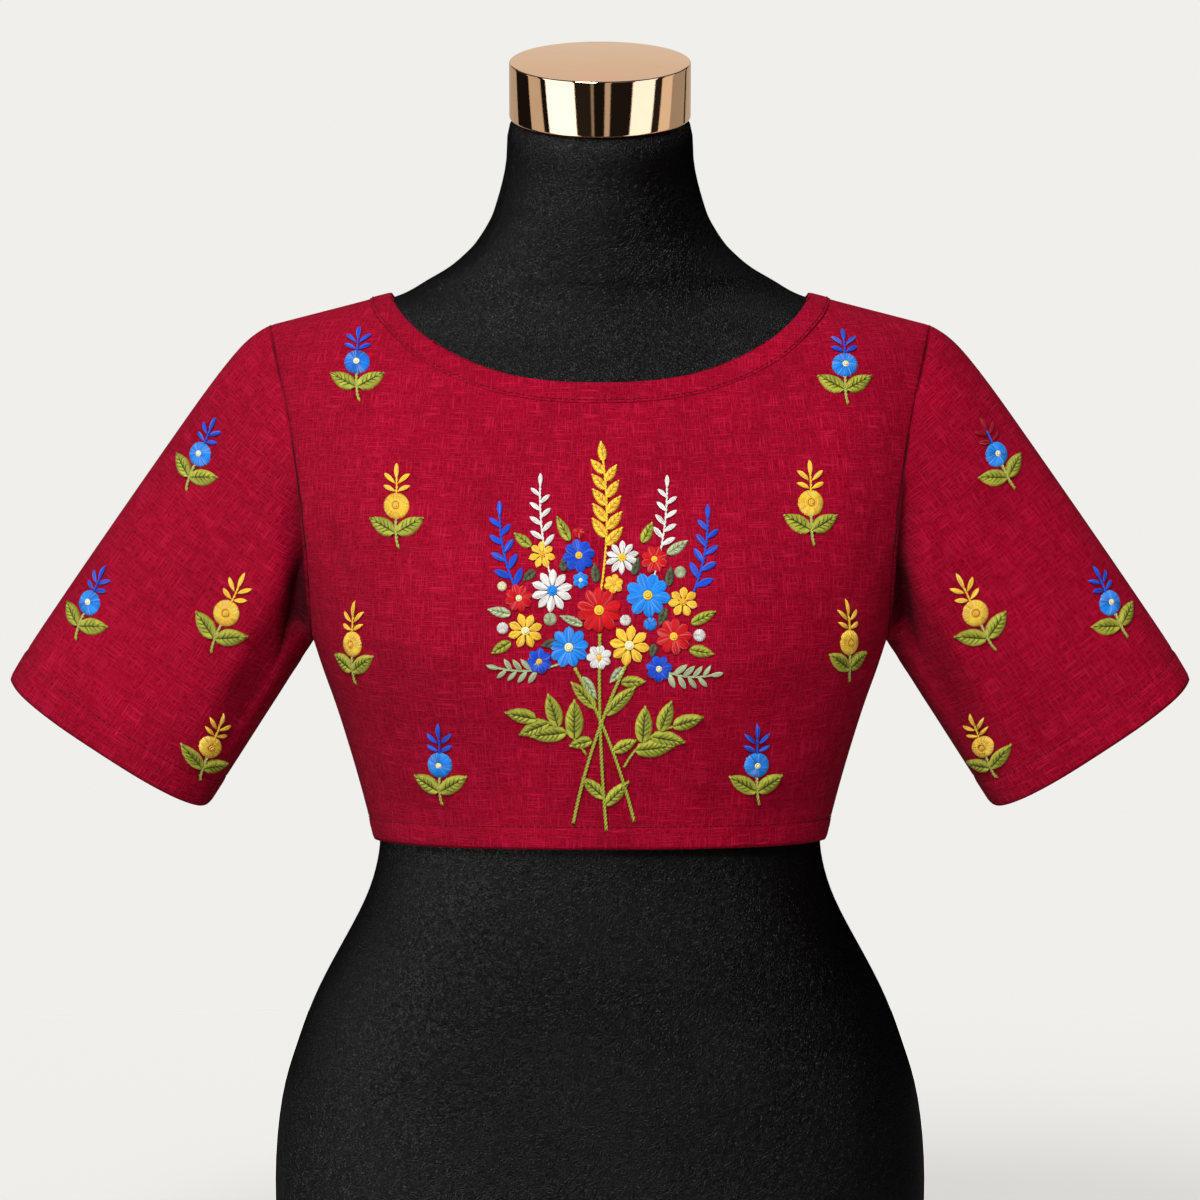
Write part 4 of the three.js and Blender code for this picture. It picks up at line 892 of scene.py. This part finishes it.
# ---------------------------------------------------------------- the sixteen sprigs
# Padded satin stitch in stranded cotton: a round flower of threads that run out from a knot, a crown of five
# long petals over it, two veined leaves and a corded stem. Each is worked through the linen: eight are on the
# front and four on each sleeve, where they lean with the sleeve.
DYES = {
    "sky": (0.012, 0.27, 0.92),
    "azure": (0.01, 0.19, 0.78),
    "blue": (0.006, 0.08, 0.68),
    "yellow": (1.0, 0.6, 0.045),
    "gold": (0.82, 0.42, 0.03),
    "amber": (0.9, 0.5, 0.06),
    "cream": (0.98, 0.88, 0.5),
    "leaf": (0.39, 0.4, 0.04),
    "straw": (0.5, 0.46, 0.14),
    "vein": (0.075, 0.09, 0.01),
    "sage": (0.46, 0.53, 0.3),
    "olive": (0.1, 0.115, 0.06),
    "red": (0.66, 0.002, 0.008),
    "maroon": (0.33, 0.004, 0.014),
    "white": (0.86, 0.82, 0.79),
    "sage_vein": (0.2, 0.25, 0.12),
    "yellow_vein": (0.7, 0.33, 0.025),
    "olive_vein": (0.05, 0.06, 0.03),
}
VEINS = {"leaf": "vein", "sage": "sage_vein", "yellow": "yellow_vein", "olive": "olive_vein"}
SLOTS = {"sky": "thread_sky", "blue": "thread_blue", "yellow": "thread_yellow", "cream": "thread_cream"}
SLOTS |= {"leaf": "thread_green", "sage": "thread_sage", "red": "thread_red", "white": "thread_white"}
OWNER = {"maroon": "red", "gold": "yellow", "olive": "sage"}  # the piece that a dye's stitches go with
THREAD, VEIN_STEP = 0.85, 3.1  # mm, the spacing of satin stitches and of a leaf's side veins
PAD = {"high": 1.5, "sunk": -0.35}
TWIST_STEP = 4.4  # mm along a corded stem to one turn of its plies
RAY = {"away": (0.45, 0.72, 0.9, 0.99), "high": (0.85, 1.0, 0.94, 0.66, 0.25)}  # shares of reach and height
PETAL_ALONG = (0.0, 0.08, 0.28, 0.5, 0.72, 0.92, 1.0)
LEAF_STITCH = ((0, 0.32), (0.14, 0.72), (0.45, 1), (0.78, 0.74), (0.95, 0.3))  # share along and height
SIDE_VEIN = ((0, 0.55, 0.42), (0.35, 1.2, 0.38), (0.7, 1.2, 0.32), (1, 0.95, 0.2))  # and width in mm
LEAF_VEIN = ((-0.02, 0.3, 0.7), (0.2, 0.62, 0.62), (0.45, 0.7, 0.55), (0.7, 0.66, 0.45), (0.9, 0.5, 0.25))
SPRIG = {"disc": 7.1, "knot": 1.9, "leaf": (15.8, -0.6, 9.0), "leaf_below": 8.2, "crown": (6.1, 16.4)}
SPRIG |= {"crown_cord": (1.3, 1.0), "crown_high": 1.25, "stem": (1.8, 1.3)}
SPRIG_STEM = [(0, 0), (0, 7), (0.6, 13), (1.6, 16.4)]  # aside and below the foot of the flower
CROWN = [  # foot aside and up, tip aside and up, width, on both sides where it is aside
    (0, 15.2, -0.3, 24.6, 3.0),
    (1.1, 13.0, 7.2, 18.6, 3.0),
    (0.9, 8.4, 7.5, 11.6, 3.0),
]
SPRIGS = [  # piece, lean in degrees, and where each is and its colour
    ("front", 0, [(-134, 544.5, "sky"), (135, 543, "sky")]),
    ("front", 0, [(-111, 466.5, "yellow"), (115, 468, "yellow")]),
    ("front", 0, [(-135.5, 390.5, "yellow"), (136.5, 391.5, "yellow")]),
    ("front", 0, [(-87.5, 325, "sky"), (85.5, 325, "sky")]),
    ("sleeve_left", -26, [(-222.5, 493, "sky"), (-285, 410, "sky")]),
    ("sleeve_left", -26, [(-207, 405.5, "yellow"), (-217.5, 329.5, "yellow")]),
    ("sleeve_right", 26, [(220.5, 493, "sky"), (284.5, 410, "sky")]),
    ("sleeve_right", 26, [(208, 405.5, "yellow"), (214, 329.5, "yellow")]),
]
ODD_ONE = ("sleeve_right", 220.5)  # its crown is worked in dark red on a blue stem


def motif_ground(node, x, z, lean):
    """The cloth under a motif at x, z of the front view, in mm: a place and its outward direction at u, v."""
    anchor, out = cast(node, Vector((x * MM, -0.6, z * MM)), Vector((0, 1, 0)))
    right = Vector((-out.y, out.x, 0)).normalized()
    up = Vector((0, out.z, -out.y)).normalized()
    c, s = math.cos(math.radians(lean)), math.sin(math.radians(lean))

    def ground(u, v):
        a, b = (u * c - v * s) * MM, (u * s + v * c) * MM
        return cast(node, anchor + right * a + up * b + out * 0.04, -out)

    return ground


def lay(ground, rows):
    """Places (u, v, height) in mm on a ground, as the points and normals of a strand."""
    path, outs = [], []
    for u, v, height in rows:
        spot, out = ground(u, v)
        path.append(spot + out * height * MM)
        outs.append(out)
    return np.array([list(p) for p in path]), np.array([list(n) for n in outs])


def satin(strands, ground, rows, wide, high, dye):
    path, outs = lay(ground, rows)
    strands.add(path, outs, np.asarray(wide) * MM, high * MM, dye)


def shade(strands, dye, spread=0.09):
    """A dye as one stitch takes the light."""
    return np.array(DYES[dye]) * strands.chance.normal(1, spread)


def paint_glint(strands, tone, low, high):
    """Paints a glint: moves a tone toward white by a random share, or leaves it where the share is below 0.
    """
    return tone + (1 - tone) * max(0.0, strands.chance.uniform(low, high))


def axes(foot, tip):
    """The way from foot to tip, its length and the direction to its left."""
    run = np.subtract(tip, foot)
    long = float(np.hypot(*run))
    return run, long, np.array([-run[1], run[0]]) / long


def rays(strands, ground, at, inner, outer, high, dye, ragged=0.25):
    """Satin stitches that run out from a knot to a round edge."""
    count = round(2 * math.pi * outer / THREAD)
    phase = strands.chance.uniform(0, 6.28)
    for k in range(count):
        angle = 2 * math.pi * k / count
        reach = outer + strands.chance.uniform(-ragged, ragged)
        away = np.array([inner, *(share * outer for share in RAY["away"]), reach])
        tall = [*(share * high for share in RAY["high"]), PAD["sunk"]]
        rows = [(at[0] + r * math.sin(angle), at[1] + r * math.cos(angle), h) for r, h in zip(away, tall)]
        # painted sheen: opposite sectors of the flower lighter, those between darker, and painted glints on a
        # few stitches
        tone = shade(strands, dye, 0.12) * (1 + 0.12 * math.sin(2 * angle + phase))
        tone = paint_glint(strands, tone, -0.35, 0.2)
        satin(strands, ground, rows, 2 * math.pi * away / count * 1.06, 0.45, np.clip(tone, 0, 1))


def ring(strands, ground, at, radius, height, wide, dye, turns=1.0, rise=0.0, shrink=0.0):
    """A coil of thread round a place, which may climb and close in as it turns."""
    steps = max(8, int(14 * turns))
    rows = []
    for k in range(steps + 1):
        t = k / steps
        r = radius * (1 - shrink * t)
        angle = 2 * math.pi * turns * t
        rows.append((at[0] + r * math.sin(angle), at[1] + r * math.cos(angle), height + rise * t))
    satin(strands, ground, rows, wide, wide * 0.7, shade(strands, dye, 0.05))


def knot(strands, ground, at, radius, height, dye):
    """A French knot: a coil that climbs to its middle."""
    ring(strands, ground, at, radius * 0.72, height, radius * 0.62, dye, turns=1.1)
    ring(strands, ground, at, radius * 0.4, height + radius * 0.3, radius * 0.6, dye, 1.2, 0.2, 0.55)


def petal(strands, ground, foot, tip, wide, high, dye, blunt=0.75, widest=0.5):
    """A long padded shape with stitches along it, rounded across. blunt rounds its ends."""
    run, _, aside = axes(foot, tip)
    count = max(3, round(wide / THREAD) + 1)
    t = np.array(PETAL_ALONG)
    warped = t ** (math.log(0.5) / math.log(widest))
    swell = np.sin(np.pi * np.clip(warped, 0.03, 0.97)) ** blunt
    for k in range(count):
        across = (2 * (k + 0.5) / count - 1) * (1 - 0.5 / count)
        dome = math.sqrt(max(0.0, 1 - across**2 * 0.9))
        tall = high * dome * np.sin(np.pi * np.clip(t, 0.02, 0.98)) ** 0.45
        tall[0] = tall[-1] = PAD["sunk"]
        end = t.copy()
        end[-1] -= abs(across) ** 2 * 0.1 - strands.chance.uniform(0, 0.02)
        end[0] += abs(across) ** 2 * 0.05
        spots = np.array(foot) + end[:, None] * run + (swell * across * wide / 2)[:, None] * aside
        rows = [(u, v, h) for (u, v), h in zip(spots, tall)]
        # painted glints on a few stitches
        tone = paint_glint(strands, shade(strands, dye, 0.15), -0.3, 0.12)
        satin(strands, ground, rows, wide / count * (0.35 + 0.72 * swell), 0.5, tone)


def leaf(strands, ground, foot, tip, wide, high, dye, vein, serrated=0.3):
    """Two rows of slanting stitches that meet in a groove, with a darker thread along it and side veins."""
    run, long, aside = axes(foot, tip)

    def half_width(t):
        return wide / 2 * math.sin(math.pi * min(0.994, t**0.86 + 0.03)) ** 0.72

    def spot(t, out):
        return np.array(foot) + t * run + out * aside

    count = round(long / (THREAD * 0.9))
    for hand in (-1, 1):
        for k in range(count + 1):
            start = 0.02 + 0.84 * k / count
            end = min(1.0, 0.11 + 0.89 * (k / count) ** 0.92)
            ragged = serrated * (1 if k % 4 == 3 else 0.35) * (1 - end**6)
            reach = half_width(end) + strands.chance.uniform(-0.3, 1.0) * ragged
            rows = []
            for share, h in (*LEAF_STITCH, (1, PAD["sunk"] / high)):
                out = hand * (reach * share**0.9 + 0.16 * (1 - share))
                rows.append((*spot(start + (end - start) * share, out), h * high))
            # painted light: one row of the leaf lighter and the other darker, as their stitches slant
            # opposite ways
            tone = shade(strands, dye, 0.13) * (1.0 + 0.12 * hand)
            satin(strands, ground, rows, THREAD * 1.04, 0.45, np.clip(tone, 0, 1))
        for k in range(1, round(long / VEIN_STEP)):
            start = 0.06 + 0.84 * k * VEIN_STEP / long
            end = min(0.98, start + 0.17)
            reach = half_width(end) * 0.72
            rows = []
            for share, h, _ in SIDE_VEIN:
                place = spot(start + (end - start) * share, hand * reach * share)
                rows.append((*place, high * h + 0.22 * share))
            satin(strands, ground, rows, [w for _, _, w in SIDE_VEIN], 0.3, shade(strands, vein, 0.06))
    rows = [(*spot(t, 0), high * h) for t, h, _ in LEAF_VEIN]
    satin(strands, ground, rows, [w for _, _, w in LEAF_VEIN], 0.5, shade(strands, vein, 0.04))


def cord(strands, ground, track, wide, high, dye, tip_dye=None):
    """A corded stem: two plies that wind round each other along a track of places."""
    track = np.array(track, dtype=float)
    gone = gone_along(track)
    count = max(6, round(gone[-1] / 0.75))
    steps = np.linspace(0, gone[-1], count + 1)
    u, v = (np.interp(steps, gone, track[:, i]) for i in range(2))
    run = np.column_stack([np.gradient(u), np.gradient(v)])
    run /= np.linalg.norm(run, axis=1)[:, None]
    ends = np.minimum(1, np.minimum(steps, gone[-1] - steps) / 0.8)
    for ply in (0, math.pi):
        turn = 2 * math.pi * steps / TWIST_STEP + ply
        out = wide * 0.24 * np.cos(turn)
        tall = (high * 0.34 + high * 0.3 * np.sin(turn)) * ends + PAD["sunk"] * (1 - ends)
        rows = list(zip(u - run[:, 1] * out, v + run[:, 0] * out, tall))
        tone = shade(strands, dye, 0.05)
        if tip_dye:
            share = np.linspace(0, 1, count + 1)[:, None] ** 1.5
            tone = tone * share + np.array(DYES[tip_dye]) * (1 - share)
        satin(strands, ground, rows, wide * 0.62, wide * 0.5, tone)


embroidery = {dye: Strands(40 + k) for k, dye in enumerate(SLOTS)}


def sprig(node, x, z, lean, colour, crown_colour, crown_stem):
    ground = motif_ground(node, x, z, lean)
    flower, green = embroidery[colour], embroidery["leaf"]
    crown, crown_cord = embroidery[OWNER.get(crown_colour, crown_colour)], embroidery[crown_stem]
    disc, knot_size = SPRIG["disc"], SPRIG["knot"]
    if colour == "sky":
        rays(flower, ground, (0, 0), knot_size * 0.6, disc, PAD["high"], "sky" if x % 2 else "azure")
        knot(embroidery["cream"], ground, (0, 0), knot_size, PAD["high"] * 0.86, "cream")
    else:
        rays(flower, ground, (0, 0), disc * 0.3, disc, PAD["high"], "yellow", 0.12)
        ring(flower, ground, (0, 0), disc * 0.5, PAD["high"] * 0.95, 0.85, "yellow")
        ring(flower, ground, (0, 0), disc * 0.36, PAD["high"] * 0.9, 0.85, "gold")
        knot(flower, ground, (0, 0), knot_size, PAD["high"] * 0.85, "amber")
    low, high = SPRIG["crown"]
    cord(crown_cord, ground, [(0, low), (0.2, (low + high) / 2), (0, high)], *SPRIG["crown_cord"], crown_stem)
    for aside, low, out, high, wide in CROWN:
        for hand in (1, -1) if aside else (1,):
            foot, tip = (hand * aside, low), (hand * out, high)
            petal(crown, ground, foot, tip, wide, SPRIG["crown_high"], crown_colour, 0.6, 0.56)
    top = -disc - 0.3
    cord(green, ground, [(a, top - b) for a, b in SPRIG_STEM], *SPRIG["stem"], "leaf", "straw")
    u, v, wide = SPRIG["leaf"]
    for hand in (1, -1):
        tip = (hand * u, top - v)
        leaf(green, ground, (0.5 * hand, top - SPRIG["leaf_below"]), tip, wide, PAD["high"], "leaf", "vein")


for node, lean, sprigs in SPRIGS:
    for x, z, colour in sprigs:
        plain = "blue" if colour == "sky" else "yellow"
        sprig(node, x, z, lean, colour, "maroon" if (node, x) == ODD_ONE else plain, plain)


# ---------------------------------------------------------------- the bouquet
# The same work on the middle of the front: flowers of many colours with knotted hearts, over sprays, fronds
# and small fillers, on three corded stalks that cross near their foot. Places are u to the right and v up.
BOUQUET_FOOT = (2.5, 290)  # x and z, in mm
BLOSSOMS = [  # u, v, radius, petals, first petal's angle, dye, heart's dye, broad petals
    (-3, 121, 12.8, 10, 0, "red", "yellow", True),
    (23.5, 129, 12.2, 9, 18, "sky", "yellow", True),
    (-28.5, 131.5, 11.6, 10, 40, "white", "sky", False),
    (13.5, 102, 11, 8, 10, "yellow", "cream", False),
    (-19.5, 101, 11.2, 9, 0, "sky", "cream", True),
    (37.5, 107, 10, 9, 50, "red", "yellow", True),
    (-43, 110, 9.6, 8, 24, "yellow", "cream", False),
    (9.5, 149, 9.2, 10, 0, "white", "yellow", False),
    (-14, 150, 9, 8, 36, "blue", "yellow", True),
    (-3, 95.5, 6.8, 7, 12, "white", "yellow", True),
    (42.5, 125.5, 8.2, 7, 5, "yellow", "gold", False),
    (-46.5, 127.5, 7.6, 8, 30, "red", "cream", True),
    (-34, 150.5, 7.2, 7, 0, "yellow", "gold", False),
    (27, 148, 7.4, 8, 22, "red", "yellow", True),
    (-35.5, 93.5, 7.0, 7, 8, "blue", "yellow", True),
    (29.5, 89.5, 7.2, 7, 30, "blue", "cream", True),
    (5, 135, 5.2, 6, 10, "yellow", "gold", True),
    (-13, 137, 4.4, 6, 0, "sky", "cream", True),
]
BUDS = [  # u, v, radius, dye
    (-29.5, 116.2, 3.2, "sage"),
    (11.3, 115.6, 2.7, "white"),
    (24.8, 113.6, 3.3, "sky"),
    (51.3, 107.6, 3.0, "white"),
    (-55.2, 111.5, 2.8, "white"),
    (41, 141.5, 2.8, "sage"),
    (-14.2, 162.5, 2.8, "red"),
    (-55.5, 134, 2.2, "cream"),
]
LONGEST_PETAL = 12  # mm, a spray's longer leaflets are veined leaves
SPRAYS = [  # from, to, bow, leaflets, first, length, width, spread, stem, dye
    ((-2.6, 128), (-1, 203), -3, 10, 0.37, 15, 6, 40, 1.9, "yellow"),
    ((-45, 126), (-57, 173), 3, 8, 0.18, 11, 5, 46, 1.8, "blue"),
    ((45, 124), (56, 171), -3, 8, 0.22, 11, 5, 46, 1.8, "blue"),
    ((-29, 138), (-35, 189), 2, 8, 0.34, 9.5, 4.2, 50, 1.6, "white"),
    ((26.5, 138), (34, 188), -2, 8, 0.36, 9.5, 4.2, 50, 1.6, "white"),
    ((-22, 93), (-58, 90), 3, 8, 0.34, 10, 4.6, 50, 1.7, "sage"),
    ((27, 91), (58, 86), -3, 8, 0.26, 10, 4.6, 50, 1.7, "sage"),
    ((-10, 42), (-38, 62), -4, 4, 0.3, 24, 10.5, 44, 1.9, "leaf"),
    ((10.5, 35), (38, 58), 4, 4, 0.3, 24, 10.5, 44, 1.9, "leaf"),
]
STALKS = [((-17, 4), (11.5, 91.2), 3), ((16, 5), (-16, 89.6), -3), ((1, 0), (-2.6, 107.8), 1.5)]
LEAVES = [  # from, to, width, dye
    ((0.5, 14), (13, 27), 6.5, "leaf"),
    ((0, 18), (-12, 29), 6.5, "leaf"),
    ((0.4, 64), (17, 80), 7, "leaf"),
    ((-5, 68), (-18, 82), 6.5, "leaf"),
    ((9, 82), (22, 82.5), 5.8, "leaf"),
    ((-12, 85), (-4.5, 73), 5.2, "sage"),
    ((-51, 104), (-61, 98), 5.4, "leaf"),
    ((46, 100), (59, 97.5), 6, "leaf"),
    ((47, 114), (60, 120.5), 5.4, "leaf"),
    ((-51, 119), (-63, 121.5), 5, "sage"),
    ((20.5, 157), (26, 168), 5.2, "leaf"),
    ((-19, 158), (-26, 171), 5.2, "leaf"),
    ((34, 151), (45, 158), 5, "sage"),
    ((-40, 155), (-49, 162), 5, "leaf"),
    ((5, 44), (17, 50), 6.2, "leaf"),
    ((-7, 50), (-19, 47), 6, "leaf"),
    ((-12, 113), (-24, 118), 4, "sage"),
    ((10, 90), (3, 82), 4.2, "sage"),
    ((-25, 104), (-34, 102), 4.4, "olive"),
    ((27, 102.5), (25.5, 96), 4, "olive"),
    ((33, 122), (30, 113), 4.4, "olive"),
    ((-38, 142), (-44, 137), 4.4, "olive"),
    ((-22, 142), (-23, 148), 3.6, "olive"),
    ((-4.5, 136), (-5.5, 146), 4.4, "olive"),
    ((15.5, 140), (18.5, 149), 4.2, "olive"),
    ((34.5, 134), (36, 144), 4.2, "olive"),
]


def bouquet_ground(u, v):
    """The front as seen from straight ahead, so that the bouquet isn't drawn out where the front slopes."""
    x, z = BOUQUET_FOOT[0] + u, BOUQUET_FOOT[1] + v
    return cast("front", Vector((x * MM, -0.6, z * MM)), Vector((0, 1, 0)))


def bowed(start, end, bow, t):
    """The place at a share t of a stem that bows to its left."""
    run = np.subtract(end, start)
    lean = np.array([-run[1], run[0]]) * 4 * bow * t * (1 - t) / np.hypot(*run)
    return np.array(start) + run * t + lean


def blossom(u, v, radius, petals, first, dye, heart, broad):
    strands, centre = embroidery[dye], np.array([u, v])
    around, blunt, heart_size = (5.0, 0.55, 0.2) if broad else (4.1, 0.8, 0.22)
    for k in range(petals):
        angle = math.radians(first + 360 * k / petals + strands.chance.uniform(-3, 3))
        way = np.array([math.sin(angle), math.cos(angle)])
        foot, tip = centre + way * radius * 0.12, centre + way * radius * strands.chance.uniform(0.95, 1.02)
        wide = radius * around / petals
        petal(strands, bouquet_ground, foot, tip, wide, PAD["high"] + 0.2, dye, blunt, 0.64)
    size = radius * heart_size + 0.25
    knot(embroidery[OWNER.get(heart, heart)], bouquet_ground, (u, v), size, PAD["high"] * 0.85, heart)


def spray(start, end, bow, leaflets, first, long, wide, spread, stem, dye):
    strands = embroidery[dye]
    track = [bowed(start, end, bow, t) for t in np.linspace(0, 1, 9)]
    cord(strands, bouquet_ground, track, stem * 0.8, 1.1, dye)

    def leaflet(t, turn, size):
        run = bowed(start, end, bow, min(1, t + 0.02)) - bowed(start, end, bow, t - 0.02)
        run /= np.hypot(*run)
        c, s = math.cos(math.radians(turn)), math.sin(math.radians(turn))
        foot = bowed(start, end, bow, t)
        tip = foot + np.array([run[0] * c - run[1] * s, run[0] * s + run[1] * c]) * long * size
        if long > LONGEST_PETAL:
            leaf(strands, bouquet_ground, foot, tip, wide * size, PAD["high"], dye, VEINS[dye], 0.03 * wide)
        else:
            petal(strands, bouquet_ground, foot, tip, wide * size * 0.9, PAD["high"] * 0.85, dye, 0.7, 0.52)

    for k in range(leaflets):
        t = first + (0.94 - first) * k / leaflets
        leaflet(t, spread if k % 2 else -spread, 1 - 0.35 * t)
    leaflet(0.97, 0, 0.72)


for row in STALKS:
    track = [bowed(*row, t) for t in np.linspace(0, 1, 15)]
    cord(embroidery["leaf"], bouquet_ground, track, 2.1, 1.5, "leaf")
for row in SPRAYS:
    spray(*row)
for foot, tip, wide, dye in LEAVES:
    leaf(embroidery[OWNER.get(dye, dye)], bouquet_ground, foot, tip, wide, PAD["high"] * 0.9, dye, VEINS[dye])
for row in BLOSSOMS:
    blossom(*row)
for u, v, radius, dye in BUDS:
    rays(embroidery[dye], bouquet_ground, (u, v), 0.2, radius, PAD["high"] * 0.8, dye, 0.1)

dye_of = {slot: dye for dye, slot in SLOTS.items()}
worked = {dye: [] for dye in embroidery}
for row in frame["record"]["subparts"]:
    if row["node"].startswith(("sprig_", "bouquet_")):
        worked[dye_of[row["material_slot"]]].append(row["node"])
for dye, strands in embroidery.items():
    material = thread_material(f"floss_{dye}", rough=0.42, shine=0.16)
    strands.finish(f"embroidery_{dye}", SLOTS[dye], material, worked[dye])


# ---------------------------------------------------------------- the stage
# A plain pale floor, a pale surround and soft studio lights: a large key from the upper left, weak ones from
# the right, from above and from low in front, a strip at the left that only adds gloss, and a wash for
# the floor alone. The metal cap mirrors a ring of cards and one overhead that nothing else sees.
SURROUND = (0.871, 0.863, 0.831)
WHITE, WARM, CEILING = (1, 1, 1), (1, 0.84, 0.66), (1, 0.83, 0.66)
CARDS = {"radius": 0.45, "middle": Vector((0, -0.015, 0)), "heights": (0.12, 0.86)}
CARDS |= {"white_from": 0.9, "step": 4}
CAP_CARDS = [  # to what azimuth, from the last one's end, and how bright
    (-126, 0.5),
    (-98, 0.01),
    (-78, 0.62),
    (-70, 0.01),
    (-32, 2.0),
    (-11.5, 0.02),
    (-8, 0.3),
    (6, 0.01),
    (13, 0.55),
    (41, 0.012),
    (71, 1.5),
    (82, 0.02),
    (100, 0.85),
    (131, 0.4),
    (136, 0.03),
    (180, 0.5),
]
CEILING_CORNERS = [(-0.5, 1.115, 0.887), (0.5, 1.115, 0.887), (0.5, 0.715, 1.51), (-0.5, 0.715, 1.51)]
AMBIENT = {"on_all": 0.27, "in_gloss": 0.07}


def soft_light(name, place, aim, size, watts):
    light = bpy.data.lights.new(name, "AREA")
    light.shape = "RECTANGLE"
    light.size, light.size_y = size
    light.energy = watts
    obj = add_object(name, light)
    obj.location = place
    obj.rotation_euler = (Vector(aim) - Vector(place)).to_track_quat("-Z", "Y").to_euler()
    return obj


def card(name, points, faces, bright, colour):
    """A glowing card that mirrors alone can see."""
    material = bpy.data.materials.new(name)
    material.use_nodes = True
    tree = material.node_tree
    mirrored = add_node(tree, "ShaderNodeLightPath").outputs["Is Singular Ray"]
    power = calculate(tree, "MULTIPLY", mirrored, bright)
    glow = add_node(tree, "ShaderNodeEmission", {"Color": (*colour, 1), "Strength": power})
    tree.links.new(glow.outputs[0], tree.nodes["Material Output"].inputs["Surface"])
    mesh = bpy.data.meshes.new(name)
    mesh.from_pydata(points, [], faces)
    mesh.materials.append(material)
    obj = add_object(name, mesh)
    obj.visible_camera = obj.visible_diffuse = obj.visible_shadow = False
    obj.visible_transmission = obj.visible_volume_scatter = False


soft_light("key", (-0.85, -2.75, 2.65), (0, 0, 0.42), (1.3, 1.3), 122)
soft_light("fill", (1.6, -3.0, 1.2), (0, 0, 0.4), (2.0, 2.0), 9)
soft_light("top", (0.0, 0.6, 2.4), (0, 0, 0.5), (2.4, 1.6), 8)

start = -180
for k, (end, bright) in enumerate(CAP_CARDS):
    count = max(2, round((end - start) / CARDS["step"]))
    angles = [math.radians(start + (end - start) * i / count) for i in range(count + 1)]
    around = [CARDS["middle"] + CARDS["radius"] * Vector((math.sin(a), -math.cos(a), 0)) for a in angles]
    points = [(p.x, p.y, z) for p in around for z in CARDS["heights"]]
    faces = [(2 * i, 2 * i + 2, 2 * i + 3, 2 * i + 1) for i in range(count)]
    card(f"card_{k}", points, faces, bright, WHITE if bright > CARDS["white_from"] else WARM)
    start = end
card("ceiling_card", CEILING_CORNERS, [(0, 1, 2, 3)], 0.76, CEILING)
strip = soft_light("strip", (-2.0, -1.0, 0.6), (0, 0, 0.45), (0.7, 1.6), 66)
strip.visible_diffuse = False
strip.data.use_shadow = False
bounce = soft_light("bounce", (-0.1, -1.1, 0.1), (0, 0, 0.36), (1.6, 0.8), 4.6)
bounce.visible_glossy = bounce.visible_camera = False

world = bpy.data.worlds.new("surround")
bpy.context.scene.world = world
world.use_nodes = True
sky = world.node_tree
path = add_node(sky, "ShaderNodeLightPath").outputs
ambient = sky.nodes["Background"]
strength = between_values(sky, path["Is Glossy Ray"], AMBIENT["on_all"], AMBIENT["in_gloss"])
feed(sky, ambient, {"Color": (*SURROUND, 1), "Strength": strength})
seen = add_node(sky, "ShaderNodeBackground", {"Color": (*SURROUND, 1), "Strength": 1.0})
mixed = {0: path["Is Camera Ray"], 1: ambient.outputs[0], 2: seen.outputs[0]}
surface = add_node(sky, "ShaderNodeMixShader", mixed).outputs[0]
sky.links.new(surface, sky.nodes["World Output"].inputs["Surface"])

bpy.ops.object.select_all(action="DESELECT")
bpy.ops.mesh.primitive_circle_add(vertices=96, radius=1.6, fill_type="NGON", location=(0, 0, -0.2 * MM))
floor = bpy.context.object
floor.name = "floor"
bpy.ops.object.transform_apply(location=True)
floor.is_shadow_catcher = True
floor.visible_diffuse = floor.visible_glossy = False
floor_only = bpy.data.collections.new("floor_only")
floor_only.objects.link(floor)
wash = soft_light("floor_wash", (0, 0, 2.6), (0, 0, 0), (3, 3), 120)
wash.light_linking.receiver_collection = floor_only

view = bpy.context.scene.view_settings
view.view_transform = "Standard"
view.look = "None"
